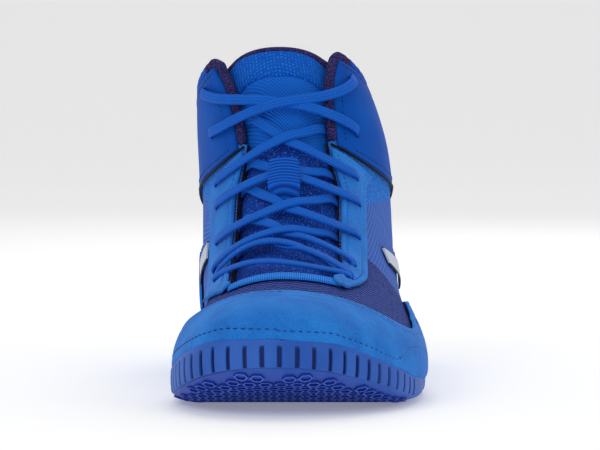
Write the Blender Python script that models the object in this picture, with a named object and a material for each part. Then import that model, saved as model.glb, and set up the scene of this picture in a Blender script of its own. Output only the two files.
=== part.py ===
"""A left wrestling shoe, modelled piece by piece as it is put together.

Toe towards -Y, heel towards +Y, the foot's inner side (medial) at -X, up is +Z.
The origin lies on the ground under the middle of the shoe. Lengths are in metres.
Every piece of the upper is cut between two larger forms of one function, last_surface.
"""
import math

import bmesh
import bpy
import numpy as np
from mathutils import Vector
from mathutils.bvhtree import BVHTree

# Driving sizes of the shoe
SHOE_LENGTH = 0.289
BALL_WIDTH = 0.1045
INSTEP_HEIGHT = 0.066
SHAFT_RISE = 0.078
BACK_HEIGHT = 0.122
TOE_SPRING = 0.018
ARCH_RISE = 0.006
SOLE_THICKNESS = 0.005
TOE_BUMPER_HEIGHT = 0.031
SIDE_WALL_HEIGHT = 0.009

# Thicknesses, widths and clearances
UPPER_WALL = 0.002
FIT_GAP = 0.0003
OVERLAY_GAP = 0.0008
SUEDE_GAP = 0.0013
INNER_GAP = 0.0012
SOLE_GAP = 0.0005
SUEDE_THICKNESS = 0.0012
CUFF_THICKNESS = 0.0010
TONGUE_THICKNESS = 0.0040
TONGUE_CROWN = 0.0016
INSOLE_THICKNESS = 0.0030
RUBBER_WALL = 0.0026
GROOVE_PITCH = 0.0066
GROOVE_WIDTH = 0.0019
GROOVE_DEPTH = 0.0010
GROOVES_EACH_SIDE = 12
LUG_SIZE = 0.0072
LUG_PITCH = 0.0185
LUG_HEIGHT = 0.0010
BINDING_WIDTH = 0.0042
BINDING_PROUD = 0.0014
PIPING_WIDTH = 0.0016
LACE_WIDTH = 0.0052
LACE_THICKNESS = 0.0016
LACE_LIFT = 0.0036
EYELET_LENGTH = 0.0050
EYELET_WIDTH = 0.0022
KEEPER_WIDTH = 0.0125
KEEPER_THICKNESS = 0.0010
BAND_WIDTH = 0.0090
BAND_THICKNESS = 0.0008

# Sections of the last, from the toe tip round the foot to the top of the shaft.
# Each section lies in a plane through its top point (toe box, instep, front of the shaft)
# and its low point (under the sole, then up the back of the heel).
# top_y and low_y are shares of SHOE_LENGTH from the toe tip. The top point's height is
# instep * INSTEP_HEIGHT + shaft * SHAFT_RISE, and the low point's is
# SOLE_THICKNESS + spring * TOE_SPRING + back * BACK_HEIGHT.
# ridge, keel, medial and lateral are shares of BALL_WIDTH: the two middle lines and the
# half widths. widest is the share of the way down where the section is widest.
SECTION_COLUMNS = (
    "top_y", "instep", "shaft", "low_y", "spring", "back", "ridge", "keel",
    "medial", "lateral", "widest", "top_power", "low_power",
)
SECTION_TABLE = (
    (0.014, 0.394, 0.000, 0.014, 1.17, 0.000, -0.095, -0.095, 0.000, 0.000, 0.50, 2.3, 2.3),
    (0.028, 0.530, 0.000, 0.028, 0.86, 0.000, -0.093, -0.083, 0.158, 0.158, 0.55, 2.4, 2.4),
    (0.050, 0.614, 0.000, 0.053, 0.64, 0.000, -0.091, -0.071, 0.249, 0.257, 0.65, 2.3, 2.8),
    (0.083, 0.662, 0.000, 0.090, 0.42, 0.000, -0.087, -0.053, 0.319, 0.351, 0.73, 2.2, 3.3),
    (0.128, 0.697, 0.000, 0.142, 0.20, 0.000, -0.079, -0.031, 0.373, 0.440, 0.78, 2.1, 3.7),
    (0.187, 0.732, 0.000, 0.218, 0.06, 0.000, -0.070, -0.011, 0.412, 0.512, 0.79, 2.1, 4.0),
    (0.256, 0.792, 0.000, 0.298, 0.00, 0.000, -0.065, 0.007, 0.411, 0.551, 0.81, 2.0, 4.0),
    (0.336, 0.886, 0.000, 0.381, 0.00, 0.000, -0.062, 0.021, 0.380, 0.556, 0.84, 2.0, 4.0),
    (0.408, 1.000, 0.000, 0.474, 0.00, 0.008, -0.062, 0.037, 0.356, 0.537, 0.85, 2.0, 3.8),
    (0.464, 1.000, 0.167, 0.595, 0.00, 0.033, -0.062, 0.043, 0.336, 0.502, 0.81, 2.0, 3.3),
    (0.509, 1.000, 0.320, 0.734, 0.00, 0.020, -0.063, 0.021, 0.349, 0.483, 0.66, 2.0, 2.9),
    (0.540, 1.000, 0.449, 0.865, 0.00, 0.008, -0.065, -0.003, 0.356, 0.474, 0.56, 2.0, 2.9),
    (0.561, 1.000, 0.564, 0.960, 0.00, 0.033, -0.066, -0.010, 0.358, 0.469, 0.50, 2.0, 2.7),
    (0.574, 1.000, 0.667, 0.988, 0.00, 0.205, -0.068, -0.012, 0.357, 0.464, 0.50, 2.1, 2.4),
    (0.585, 1.000, 0.769, 0.982, 0.00, 0.451, -0.071, -0.022, 0.357, 0.445, 0.50, 2.2, 2.3),
    (0.595, 1.000, 0.878, 0.966, 0.00, 0.680, -0.077, -0.036, 0.357, 0.407, 0.50, 2.2, 2.2),
    (0.609, 1.000, 1.000, 0.958, 0.00, 0.861, -0.082, -0.060, 0.356, 0.364, 0.50, 2.2, 2.2),
    (0.626, 1.000, 1.115, 0.963, 0.00, 1.025, -0.087, -0.074, 0.354, 0.349, 0.50, 2.2, 2.2),
    (0.640, 1.000, 1.230, 0.972, 0.00, 1.156, -0.089, -0.079, 0.349, 0.340, 0.50, 2.2, 2.2),
)

# Half width of the throat at each section, from the ridge, as shares of BALL_WIDTH
THROAT_FOOT = 6.0
THROAT_TABLE = (
    # section, medial, lateral
    (0.0, 0.220, 0.230),
    (6.0, 0.220, 0.230),
    (7.0, 0.215, 0.226),
    (8.0, 0.210, 0.223),
    (9.0, 0.206, 0.225),
    (10.0, 0.198, 0.228),
    (11.0, 0.170, 0.198),
    (12.0, 0.155, 0.182),
    (13.0, 0.167, 0.174),
    (14.0, 0.180, 0.170),
    (15.0, 0.203, 0.180),
    (16.0, 0.238, 0.200),
    (17.0, 0.262, 0.215),
)

# The collar's edge and the line of the piping, by the way round the section
# (0 at the front ridge, 1 at the back)
COLLAR_TABLE = (
    # around, collar section, piping section
    (0.00, 16.10, 11.80),
    (0.20, 16.10, 11.80),
    (0.28, 15.95, 11.95),
    (0.35, 15.80, 12.30),
    (0.50, 15.70, 13.35),
    (0.75, 15.85, 14.00),
    (1.00, 16.15, 14.30),
)

# Underside of the sole and top of its side walls, by the way along the shoe.
# spring and arch are shares of TOE_SPRING and ARCH_RISE. The walls' heights are
# bumper * TOE_BUMPER_HEIGHT + wall * SIDE_WALL_HEIGHT.
SOLE_COLUMNS = (
    "along", "spring", "arch", "medial_bumper", "medial_wall", "lateral_bumper", "lateral_wall",
)
SOLE_TABLE = (
    (0.000, 1.00, 0.0, 1.00, 0.0, 1.00, 0.0),
    (0.035, 0.76, 0.0, 0.97, 0.0, 0.93, 0.0),
    (0.087, 0.48, 0.0, 0.80, 0.0, 0.71, 0.0),
    (0.138, 0.25, 0.0, 0.66, 0.0, 0.54, 0.0),
    (0.190, 0.07, 0.0, 0.54, 0.0, 0.40, 0.0),
    (0.242, 0.00, 0.0, 0.22, 0.75, 0.14, 0.70),
    (0.300, 0.00, 0.0, 0.10, 1.05, 0.00, 1.00),
    (0.430, 0.00, 0.0, 0.00, 1.20, 0.00, 1.10),
    (0.520, 0.00, 0.7, 0.00, 1.40, 0.00, 1.25),
    (0.600, 0.00, 1.0, 0.00, 1.50, 0.00, 1.35),
    (0.680, 0.00, 0.5, 0.00, 1.45, 0.00, 1.40),
    (0.740, 0.00, 0.0, 0.00, 1.45, 0.00, 1.45),
    (0.900, 0.00, 0.0, 0.00, 1.65, 0.00, 1.65),
    (1.000, 0.17, 0.0, 0.00, 1.90, 0.00, 1.90),
)

# Top edges of the suede, as shares of INSTEP_HEIGHT: the toe cap with its side rand, and
# the heel counter
SUEDE_TABLE = (
    # section, medial rand, lateral rand, counter
    (4.2, 0.720, 0.720, 0.40),
    (5.0, 0.600, 0.620, 0.40),
    (6.0, 0.515, 0.500, 0.40),
    (7.0, 0.470, 0.500, 0.40),
    (8.0, 0.440, 0.560, 0.40),
    (9.0, 0.420, 0.530, 0.40),
    (10.3, 0.400, 0.480, 0.44),
    (11.0, 0.400, 0.480, 0.56),
    (12.0, 0.400, 0.480, 0.74),
    (13.0, 0.400, 0.480, 0.86),
    (13.9, 0.400, 0.480, 0.90),
)
RAND_END = 10.2
COUNTER_START = 10.3
COUNTER_TOP = 13.9

# Outer edge of the suede facings, from the ridge, as shares of BALL_WIDTH
FACING_TABLE = (
    # section, medial, lateral
    (5.50, 0.245, 0.250),
    (5.62, 0.300, 0.305),
    (5.80, 0.335, 0.340),
    (6.20, 0.352, 0.360),
    (7.00, 0.335, 0.362),
    (8.00, 0.320, 0.360),
    (9.50, 0.305, 0.355),
    (10.60, 0.306, 0.355),
    (11.00, 0.308, 0.375),
    (11.30, 0.312, 0.400),
    (11.60, 0.317, 0.417),
)

# Lace eyelets, from the collar down: on each side the section, and the distance from the
# ridge as a share of BALL_WIDTH
EYELET_TABLE = (
    # medial section, medial reach, lateral section, lateral reach
    (15.3, 0.318, 15.4, 0.290),
    (13.6, 0.295, 13.0, 0.300),
    (11.4, 0.275, 10.9, 0.306),
    (10.45, 0.272, 9.85, 0.318),
    (9.35, 0.268, 8.60, 0.315),
    (8.35, 0.285, 7.10, 0.296),
    (7.50, 0.273, 6.30, 0.285),
)


def spline_rows(rows, at):
    """Smooth curve through evenly numbered rows, read at the numbers in at."""
    at = np.clip(np.asarray(at, float), 0.0, len(rows) - 3.0)
    first = np.minimum(at.astype(int), len(rows) - 4)
    t = (at - first)[..., None]
    p0, p1, p2, p3 = (rows[first + k] for k in range(4))
    curve = 2 * p1 + (p2 - p0) * t + (2 * p0 - 5 * p1 + 4 * p2 - p3) * t ** 2
    return (curve + (3 * p1 - p0 - 3 * p2 + p3) * t ** 3) / 2


def last_rows():
    """The section table in metres, with one more row at each end for the curve."""
    table = np.array(SECTION_TABLE)
    column = {name: table[:, k] for k, name in enumerate(SECTION_COLUMNS)}
    top_z = column["instep"] * INSTEP_HEIGHT + column["shaft"] * SHAFT_RISE
    low_z = SOLE_THICKNESS + column["spring"] * TOE_SPRING + column["back"] * BACK_HEIGHT
    low_z[0] = top_z[0]
    rows = np.stack([
        (column["top_y"] - 0.5) * SHOE_LENGTH,
        top_z,
        (column["low_y"] - 0.5) * SHOE_LENGTH,
        low_z,
        column["ridge"] * BALL_WIDTH,
        column["keel"] * BALL_WIDTH,
        column["medial"] * BALL_WIDTH,
        column["lateral"] * BALL_WIDTH,
        column["widest"],
        column["top_power"],
        column["low_power"],
    ], axis=1)
    before = rows[1].copy()
    before[:4] = rows[1][[2, 3, 0, 1]]
    before[6:8] = -rows[1][6:8]
    after = 2 * rows[-1] - rows[-2]
    return np.vstack([before, rows, after])


LAST_ROWS = last_rows()


def last_surface(section, around):
    """Points of the upper's outer face. around runs from 0 at the ridge to -1 and 1 at the keel."""
    around = (np.asarray(around, float) + 1) % 2 - 1
    row = spline_rows(LAST_ROWS, section)
    top_y, top_z, low_y, low_z, ridge, keel, medial, lateral, widest, top_power, low_power = (
        row[..., k] for k in range(11)
    )
    side = np.where(around < 0, -1.0, 1.0)
    half = np.where(around < 0, medial, lateral)
    turn = np.abs(around) * math.pi
    above = turn <= math.pi / 2
    power = np.where(above, top_power, low_power)
    across = np.abs(np.sin(turn)) ** (2 / power)
    down = np.abs(np.cos(turn)) ** (2 / power)
    along = np.where(above, widest * (1 - down), widest + (1 - widest) * down)
    middle = np.where(above, ridge, across * ridge + (1 - across) * keel)
    x = middle + side * half * across
    y = top_y + (low_y - top_y) * along
    z = top_z + (low_z - top_z) * along
    return np.stack([x, y, z], axis=-1)


def last_normal(section, around):
    """Outward unit normals of last_surface."""
    step = 0.01
    section = np.maximum(np.asarray(section, float), 0.06)
    around = np.asarray(around, float)
    along = last_surface(section + step, around) - last_surface(section - step, around)
    across = last_surface(section, around + step) - last_surface(section, around - step)
    normal = np.cross(across, along)
    return normal / np.linalg.norm(normal, axis=-1, keepdims=True)


def last_form(section, around, offset):
    """The last, grown outwards by offset, which is a length or a function of the place."""
    if callable(offset):
        offset = offset(section, around)
    offset = np.asarray(offset, float)
    return last_surface(section, around) + last_normal(section, around) * offset[..., None]


def table_at(table, column, at):
    """A value of a short table, read at the numbers in its first column."""
    rows = np.array(table, float)
    return np.interp(at, rows[:, 0], rows[:, column])


def around_at_reach(section, side, share):
    """The way round at which the section's top half reaches share * BALL_WIDTH from the ridge."""
    row = spline_rows(LAST_ROWS, section)
    half = row[..., 6] if side < 0 else row[..., 7]
    reach = np.clip(share * BALL_WIDTH / np.maximum(half, 1e-6), 0.0, 1.0)
    return np.arcsin(reach ** (row[..., 9] / 2)) / math.pi


def around_at_height(section, side, height):
    """The way round at which the section has come down to the height, 0 to 1."""
    low = np.zeros_like(section)
    high = np.ones_like(section)
    for _ in range(30):
        middle = (low + high) / 2
        above = last_surface(section, side * middle)[..., 2] > height
        low = np.where(above, middle, low)
        high = np.where(above, high, middle)
    return (low + high) / 2


def throat_edge(section, side):
    """The way round of the throat's edge."""
    share = table_at(THROAT_TABLE, 1 if side < 0 else 2, section)
    return around_at_reach(section, side, share)


def collar_section(around):
    return table_at(COLLAR_TABLE, 1, np.abs(around))


def piping_section(around):
    return table_at(COLLAR_TABLE, 2, np.abs(around))


def wall_top(y, side):
    """Height of the rubber wall's top at a place along the shoe."""
    along = y / SHOE_LENGTH + 0.5
    first = 3 if side < 0 else 5
    bumper = table_at(SOLE_TABLE, first, along)
    wall = table_at(SOLE_TABLE, first + 1, along)
    return bumper * TOE_BUMPER_HEIGHT + wall * SIDE_WALL_HEIGHT


def underside(y):
    """Height of the sole's underside at a place along the shoe."""
    along = y / SHOE_LENGTH + 0.5
    spring = table_at(SOLE_TABLE, 1, along)
    arch = table_at(SOLE_TABLE, 2, along)
    return spring * TOE_SPRING + arch * ARCH_RISE


def around_at_rubber(section, side, clearance):
    """The way round at which the section comes down to the rubber wall's top."""
    low = np.zeros_like(section)
    high = np.ones_like(section)
    for _ in range(30):
        middle = (low + high) / 2
        point = last_surface(section, side * middle)
        above = point[..., 2] > wall_top(point[..., 1], side) + clearance
        low = np.where(above, middle, low)
        high = np.where(above, high, middle)
    return (low + high) / 2


def material(name, colour, roughness):
    """A Principled material. The colour is given as it looks, 0 to 255."""
    made = bpy.data.materials.get(name) or bpy.data.materials.new(name)
    made.use_nodes = True
    shader = made.node_tree.nodes["Principled BSDF"]
    linear = [((level / 255 + 0.055) / 1.055) ** 2.4 for level in colour]
    shader.inputs["Base Color"].default_value = (*linear, 1.0)
    shader.inputs["Roughness"].default_value = roughness
    shader.inputs["Metallic"].default_value = 0.0
    return made


def make_object(name, points, faces, finish):
    """A closed mesh object with its faces pointing out."""
    mesh = bpy.data.meshes.new(name)
    mesh.from_pydata([tuple(point) for point in points], [], faces)
    work = bmesh.new()
    work.from_mesh(mesh)
    bmesh.ops.remove_doubles(work, verts=work.verts, dist=1e-6)
    loose = [vert for vert in work.verts if not vert.link_faces]
    bmesh.ops.delete(work, geom=loose, context="VERTS")
    bmesh.ops.recalc_face_normals(work, faces=work.faces)
    work.to_mesh(mesh)
    work.free()
    mesh.shade_smooth()
    mesh.set_sharp_from_angle(angle=math.radians(40))
    mesh.materials.append(finish)
    made = bpy.data.objects.new(name, mesh)
    bpy.context.scene.collection.objects.link(made)
    return made


def leg(side, sections, inner, outer, columns):
    """A grid of places on one side of the foot, between two edges given as functions."""
    sections = np.asarray(sections, float)
    start = np.broadcast_to(inner(sections), sections.shape)
    stop = np.broadcast_to(outer(sections), sections.shape)
    share = np.linspace(0, 1, columns + 1)
    around = side * (start[:, None] + (stop - start)[:, None] * share)
    return np.repeat(sections[:, None], columns + 1, axis=1), around


def cells(legs):
    """The grids' places, each once, and their triangles, turned to face outwards."""
    places = []
    number = {}
    faces = []
    for section, around in legs:
        ids = np.empty(section.shape, int)
        for place in np.ndindex(section.shape):
            s = section[place]
            a = around[place]
            if abs(a) > 0.9999:
                a = 1.0
            if s < 1e-6:
                a = 0.0
            key = (round(s, 5), round(a, 5) + 0.0)
            if key not in number:
                number[key] = len(places)
                places.append((s, a))
            ids[place] = number[key]
        lateral = around.sum() > 0
        for i in range(section.shape[0] - 1):
            for j in range(section.shape[1] - 1):
                near, far = ids[i, j], ids[i, j + 1]
                for face in ((near, far, ids[i + 1, j + 1]), (near, ids[i + 1, j + 1], ids[i + 1, j])):
                    if len(set(face)) == 3:
                        faces.append(face if lateral else face[::-1])
    return np.array(places), faces


def open_edges(faces):
    """The edges that only one face has, each in its face's direction."""
    edges = {(face[k - 1], face[k]) for face in faces for k in range(3)}
    return sorted((start, stop) for start, stop in edges if (stop, start) not in edges)


def panel(name, legs, outside, inside, finish):
    """One closed piece between two forms of the last, over the given grids of places."""
    places, faces = cells(legs)
    section, around = places.T
    outer = last_form(section, around, outside)
    inner = last_form(section, around, inside)
    count = len(places)
    closed = faces + [tuple(corner + count for corner in reversed(face)) for face in faces]
    closed += [(stop, start, start + count, stop + count) for start, stop in open_edges(faces)]
    return make_object(name, np.vstack([outer, inner]), closed, finish)


CORNER = 1.42


def bead(name, path, offset, width, height, finish, rim=6):
    """A piece swept along a path of (section, around) places, offset from the last."""
    section, around = np.array(path, float).T
    middle = last_form(section, around, offset)
    up = last_normal(section, around)
    ahead = np.gradient(middle, axis=0)
    ahead /= np.linalg.norm(ahead, axis=1, keepdims=True)
    aside = np.cross(ahead, up)
    aside /= np.linalg.norm(aside, axis=1, keepdims=True)
    angles = (np.arange(rim) + 0.5) * 2 * math.pi / rim
    corner_x = np.clip(np.cos(angles) * CORNER, -1, 1) * width / 2
    corner_z = np.clip(np.sin(angles) * CORNER, -1, 1) * height / 2
    rings = [
        middle[k] + corner_x[:, None] * aside[k] + corner_z[:, None] * up[k]
        for k in range(len(path))
    ]
    faces = []
    for k in range(len(path) - 1):
        for c in range(rim):
            n = (c + 1) % rim
            faces.append((k * rim + c, k * rim + n, (k + 1) * rim + n, (k + 1) * rim + c))
    faces.append(tuple(range(rim)))
    faces.append(tuple(len(rings) * rim - 1 - c for c in range(rim)))
    return make_object(name, np.vstack(rings), faces, finish)


def cutter_object(name, points, faces):
    """A closed helper that is hidden in renders."""
    made = make_object(name, points, faces, material("cutter", (200, 60, 60), 0.8))
    made.hide_render = True
    made.display_type = "WIRE"
    return made


def subtract(target, cutter):
    modifier = target.modifiers.new("cut " + cutter.name, "BOOLEAN")
    modifier.operation = "DIFFERENCE"
    modifier.solver = "EXACT"
    modifier.object = cutter


def unite(target, other):
    modifier = target.modifiers.new("join " + other.name, "BOOLEAN")
    modifier.operation = "UNION"
    modifier.solver = "EXACT"
    modifier.object = other


def section_step(section, around, distance):
    """How far the section number moves for a distance along the upper."""
    step = 0.05
    along = last_surface(section + step, around) - last_surface(section - step, around)
    return distance * 2 * step / np.linalg.norm(along, axis=-1)


SUEDE_BLUE = (30, 115, 210)
CUFF_BLUE = (0, 84, 170)
MESH_NAVY = (45, 50, 130)
KNIT_BLUE = (10, 90, 195)
PLUM = (45, 20, 60)
LACE_BLUE = (0, 115, 225)
RUBBER_BLUE = (45, 95, 190)
NEAR_BLACK = (15, 15, 35)
SILVER = (215, 225, 235)


def lasting_edge(section):
    """Where the upper ends under the foot: closed at the toe and the heel, open between."""
    return np.interp(section, (1.6, 2.3, 4.0, 9.0, 11.4, 12.4), (1.0, 0.84, 0.78, 0.78, 0.84, 1.0))


COLLAR_ROW = 16.0


def raised_to_collar(section, around):
    """Moves the rows under the collar so that the last one follows the collar's edge."""
    share = np.clip((section - 13.0) / (COLLAR_ROW - 13.0), 0.0, 1.0)
    return section + share * (collar_section(around) - COLLAR_ROW)


VAMP_ROWS = (0, 0.35, 0.7, 1, 1.5, 2, 2.6, 3.3, 4, 5, THROAT_FOOT)
QUARTER_ROWS = (6.6, 7.3, 8, 9, 10, 11, 11.7, 12.4, 13, 13.6, 14.2, 14.8, 15.4, COLLAR_ROW)
VAMP_COLUMNS = 3
QUARTER_COLUMNS = 11


def make_upper():
    """The hollow shell, open at the throat, at the collar and underneath."""
    rows = VAMP_ROWS + QUARTER_ROWS
    legs = []
    for side in (-1, 1):
        def edge(section, side=side):
            return throat_edge(section, side)
        legs.append(leg(side, VAMP_ROWS, np.zeros_like, edge, VAMP_COLUMNS))
        section, around = leg(side, rows, edge, lasting_edge, QUARTER_COLUMNS)
        legs.append((raised_to_collar(section, around), around))
    return panel("upper", legs, 0.0, -UPPER_WALL, material("vamp_mesh", MESH_NAVY, 0.75))


TONGUE_START = 5.3
TONGUE_TOP = 16.5
TONGUE_SPARE = 0.070


def tongue_outside(section, around):
    """The tongue's outer face lies under the upper and swells up in the throat."""
    edge = np.where(around < 0, throat_edge(section, -1), throat_edge(section, 1))
    swell = np.clip(1 - (around / edge) ** 2, 0, 1) * np.clip(section - 6.3, 0, 1)
    return TONGUE_CROWN * swell - UPPER_WALL - INNER_GAP


def tongue_inside(section, around):
    return np.full_like(section, -UPPER_WALL - INNER_GAP - TONGUE_THICKNESS)


def make_tongue():
    """The padded tongue, tucked under the vamp and under both edges of the throat."""
    rows = np.array((TONGUE_START, 6.0, 6.7, 7.5, 8.5, 9.5, 10.5, 11.5, 12.5, 13.5, 14.5, 15.3, 16.0, TONGUE_TOP))
    legs = []
    for side, drop in ((-1, 1.2), (1, 0.7)):
        def edge(section, side=side):
            share = table_at(THROAT_TABLE, 1 if side < 0 else 2, section) + TONGUE_SPARE
            return around_at_reach(section, side, share)
        section, around = leg(side, rows, np.zeros_like, edge, 4)
        share = np.clip((section - 13.0) / (TONGUE_TOP - 13.0), 0.0, 1.0)
        outward = around / edge(section[:, 0])[:, None]
        legs.append((section - share * drop * outward ** 2, around))
    return panel("tongue", legs, tongue_outside, tongue_inside, material("tongue_knit", KNIT_BLUE, 0.8))


def make_insole():
    """The insole, resting inside on the upper's turned-in edge."""
    rows = (2.0, 2.6, 3.3, 4, 5, 6, 7.3, 8, 9, 10, 11, 11.5)
    legs = []
    for side in (-1, 1):
        def edge(section):
            return np.interp(section, (2.0, 3.0, 9.0, 11.5), (0.80, 0.72, 0.72, 0.80))
        legs.append(leg(side, rows, edge, np.ones_like, 4))
    top = -UPPER_WALL - INNER_GAP - INSOLE_THICKNESS
    return panel("insole", legs, -UPPER_WALL - INNER_GAP, top, material("insole_cloth", NEAR_BLACK, 0.9))


RUBBER_CLEARANCE = 0.0013


def toe_tip_section():
    """The section whose top just clears the rubber bumper."""
    low = 0.0
    high = 1.5
    for _ in range(30):
        middle = (low + high) / 2
        point = last_surface(np.array([middle]), np.zeros(1))[0]
        if point[2] > wall_top(point[1], -1) + RUBBER_CLEARANCE:
            high = middle
        else:
            low = middle
    return high


def capped(section, around, edge_sections, edge_around):
    """Stops the rows of a grid at an edge that is given as sections and ways round."""
    return np.minimum(section, np.interp(np.abs(around), edge_around, edge_sections))


CAP_SEAM = 4.2
RAND_START = 5.5
CAP_COLUMNS = 6
RAND_COLUMNS = 6


def make_toe_cap():
    """The suede toe cap with its rand along both sides, above the rubber."""
    tip = toe_tip_section()
    front_rows = [tip + (CAP_SEAM - tip) * share for share in (0, 0.06, 0.21, 0.36, 0.54, 0.76)]
    cap_rows = np.array(front_rows + [CAP_SEAM, 4.7, 5.1, RAND_START])
    rand_rows = (RAND_START, 6, 6.6, 7.3, 8, 9, 10, RAND_END)
    legs = []
    for side in (-1, 1):
        def inner(section, side=side):
            height = table_at(SUEDE_TABLE, 1 if side < 0 else 2, section) * INSTEP_HEIGHT
            return np.where(section <= CAP_SEAM, 0.0, around_at_height(section, side, height))
        def outer(section, side=side):
            return around_at_rubber(section, side, RUBBER_CLEARANCE)
        edge_sections = np.linspace(CAP_SEAM, RAND_START, 14)
        edge_around = inner(edge_sections)
        full = outer(np.array([CAP_SEAM]))
        def between(section):
            grown = np.where(section < CAP_SEAM, outer(section) / full, 1.0)
            return edge_around[-1] * grown
        legs.append(leg(side, cap_rows, between, outer, RAND_COLUMNS))
        section, around = leg(side, cap_rows, np.zeros_like, between, CAP_COLUMNS)
        legs.append((capped(section, around, edge_sections, edge_around), around))
        legs.append(leg(side, rand_rows, inner, outer, RAND_COLUMNS))
    outside = SUEDE_GAP + SUEDE_THICKNESS
    return panel("toe_cap", legs, outside, SUEDE_GAP, material("suede", SUEDE_BLUE, 0.85))


COUNTER_TURN = 12.0
COUNTER_COLUMNS = 8


def make_heel_counter():
    """The suede counter wrapped round the heel."""
    side_rows = (COUNTER_START, 11, 11.5, COUNTER_TURN)
    back_rows = np.array((COUNTER_TURN, 12.2, 12.32, 12.4, 12.48, 12.6, 13, 13.4, COUNTER_TOP))
    legs = []
    for side in (-1, 1):
        def inner(section, side=side):
            height = table_at(SUEDE_TABLE, 3, section) * INSTEP_HEIGHT
            return around_at_height(section, side, height)
        def outer(section, side=side):
            return around_at_rubber(section, side, RUBBER_CLEARANCE)
        edge_sections = np.linspace(COUNTER_TURN, COUNTER_TOP, 20)
        edge_around = inner(edge_sections)
        legs.append(leg(side, side_rows, inner, outer, COUNTER_COLUMNS))
        section, around = leg(side, back_rows, lambda s: edge_around[0], outer, COUNTER_COLUMNS)
        legs.append((capped(section, around, edge_sections, edge_around), around))
    outside = SUEDE_GAP + SUEDE_THICKNESS
    return panel("heel_counter", legs, outside, SUEDE_GAP, material("suede", SUEDE_BLUE, 0.85))


SIDE_NAMES = {-1: "medial", 1: "lateral"}
EDGE_SHARE = 0.004


def make_eyestay(side):
    """One suede facing beside the throat."""
    rows = (5.5, 5.62, 5.8, 6.2, 6.6, 7.3, 8, 8.5, 9, 9.5, 10, 10.5, 11, 11.3, 11.6)
    column = 1 if side < 0 else 2

    def inner(section):
        share = table_at(THROAT_TABLE, column, section) + EDGE_SHARE
        return around_at_reach(section, side, share)

    def outer(section):
        return around_at_reach(section, side, table_at(FACING_TABLE, column, section))

    legs = [leg(side, rows, inner, outer, 4)]
    outside = OVERLAY_GAP + SUEDE_THICKNESS
    name = "eyestay_" + SIDE_NAMES[side]
    return panel(name, legs, outside, OVERLAY_GAP, material("suede", SUEDE_BLUE, 0.85))


def make_vamp_edge():
    """The trim that crosses the foot of the throat."""
    rows = (5.74, 5.97)
    legs = []
    for side in (-1, 1):
        def edge(section, side=side):
            share = table_at(THROAT_TABLE, 1 if side < 0 else 2, section) - EDGE_SHARE
            return around_at_reach(section, side, share)
        legs.append(leg(side, rows, np.zeros_like, edge, 5))
    return panel("vamp_edge", legs, OVERLAY_GAP + CUFF_THICKNESS, OVERLAY_GAP, material("trim", LACE_BLUE, 0.6))


BACK_SEAM = 0.996


def make_cuff(side):
    """One smooth ankle panel, from the piping up to the collar."""
    column = 1 if side < 0 else 2
    start = COLLAR_TABLE[0][2]
    stop = COLLAR_TABLE[0][1]

    def inner(section):
        share = table_at(THROAT_TABLE, column, section) + (BINDING_WIDTH + 3 * FIT_GAP) / BALL_WIDTH
        return around_at_reach(section, side, share)

    nominal, around = leg(side, np.linspace(start, stop, 9), inner, lambda s: BACK_SEAM, 14)
    low = piping_section(around)
    low = low + section_step(low, around, PIPING_WIDTH / 2 + 2 * FIT_GAP)
    high = collar_section(around)
    high = high - section_step(high, around, FIT_GAP)
    section = low + (high - low) * (nominal - start) / (stop - start)
    outside = OVERLAY_GAP + CUFF_THICKNESS
    name = "cuff_" + SIDE_NAMES[side]
    return panel(name, [(section, around)], outside, OVERLAY_GAP, material("cuff_skin", CUFF_BLUE, 0.45))


def make_front_binding(side):
    """The padded binding down one front edge of the ankle."""
    column = 1 if side < 0 else 2
    sections = np.linspace(12.15, COLLAR_TABLE[0][1] - 0.12, 10)
    share = table_at(THROAT_TABLE, column, sections) + (BINDING_WIDTH / 2 + FIT_GAP) / BALL_WIDTH
    around = side * around_at_reach(sections, side, share)
    height = BINDING_PROUD
    name = "front_binding_" + SIDE_NAMES[side]
    path = list(zip(sections, around))
    offset = OVERLAY_GAP + height / 2
    return bead(name, path, offset, BINDING_WIDTH, height, material("binding", PLUM, 0.85))


def make_collar_binding():
    """The padded binding that rolls over the collar's edge, from peak to peak round the back."""
    peaks = [side * float(throat_edge(np.array([COLLAR_ROW]), side)[0]) for side in (-1, 1)]
    medial = np.linspace(-peaks[0], 1.0, 11)
    lateral = np.linspace(1.0, peaks[1], 11)[1:]
    around = np.concatenate([-medial, lateral])
    section = collar_section(around)
    height = UPPER_WALL + BINDING_PROUD
    lift = section_step(section, around, BINDING_WIDTH / 2 + 3 * FIT_GAP)
    offset = (BINDING_PROUD - UPPER_WALL) / 2
    path = list(zip(section + lift, around))
    return bead("collar_binding", path, offset, BINDING_WIDTH, height, material("binding", PLUM, 0.85))


def make_piping(side):
    """The dark raised piping under one ankle panel."""
    column = 1 if side < 0 else 2
    share = table_at(THROAT_TABLE, column, 11.8) + EDGE_SHARE
    first = float(around_at_reach(np.array([11.8]), side, share)[0])
    around = side * np.linspace(first, BACK_SEAM, 14)
    section = piping_section(around)
    section = section - section_step(section, around, FIT_GAP)
    path = list(zip(section, around))
    offset = OVERLAY_GAP + PIPING_WIDTH / 2
    name = "piping_" + SIDE_NAMES[side]
    return bead(name, path, offset, PIPING_WIDTH, PIPING_WIDTH, material("piping", NEAR_BLACK, 0.5))


BAND_TABLE = (
    # the plain slanted bands: section and height as a share of INSTEP_HEIGHT on each side
    # medial section, medial height, lateral section, lateral height
    (9.90, 0.86, 9.10, 0.84),
    (10.10, 0.81, 9.40, 0.80),
    (10.30, 0.76, 9.75, 0.75),
    (10.50, 0.71, 10.10, 0.70),
    (10.70, 0.66, 10.40, 0.64),
)


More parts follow.
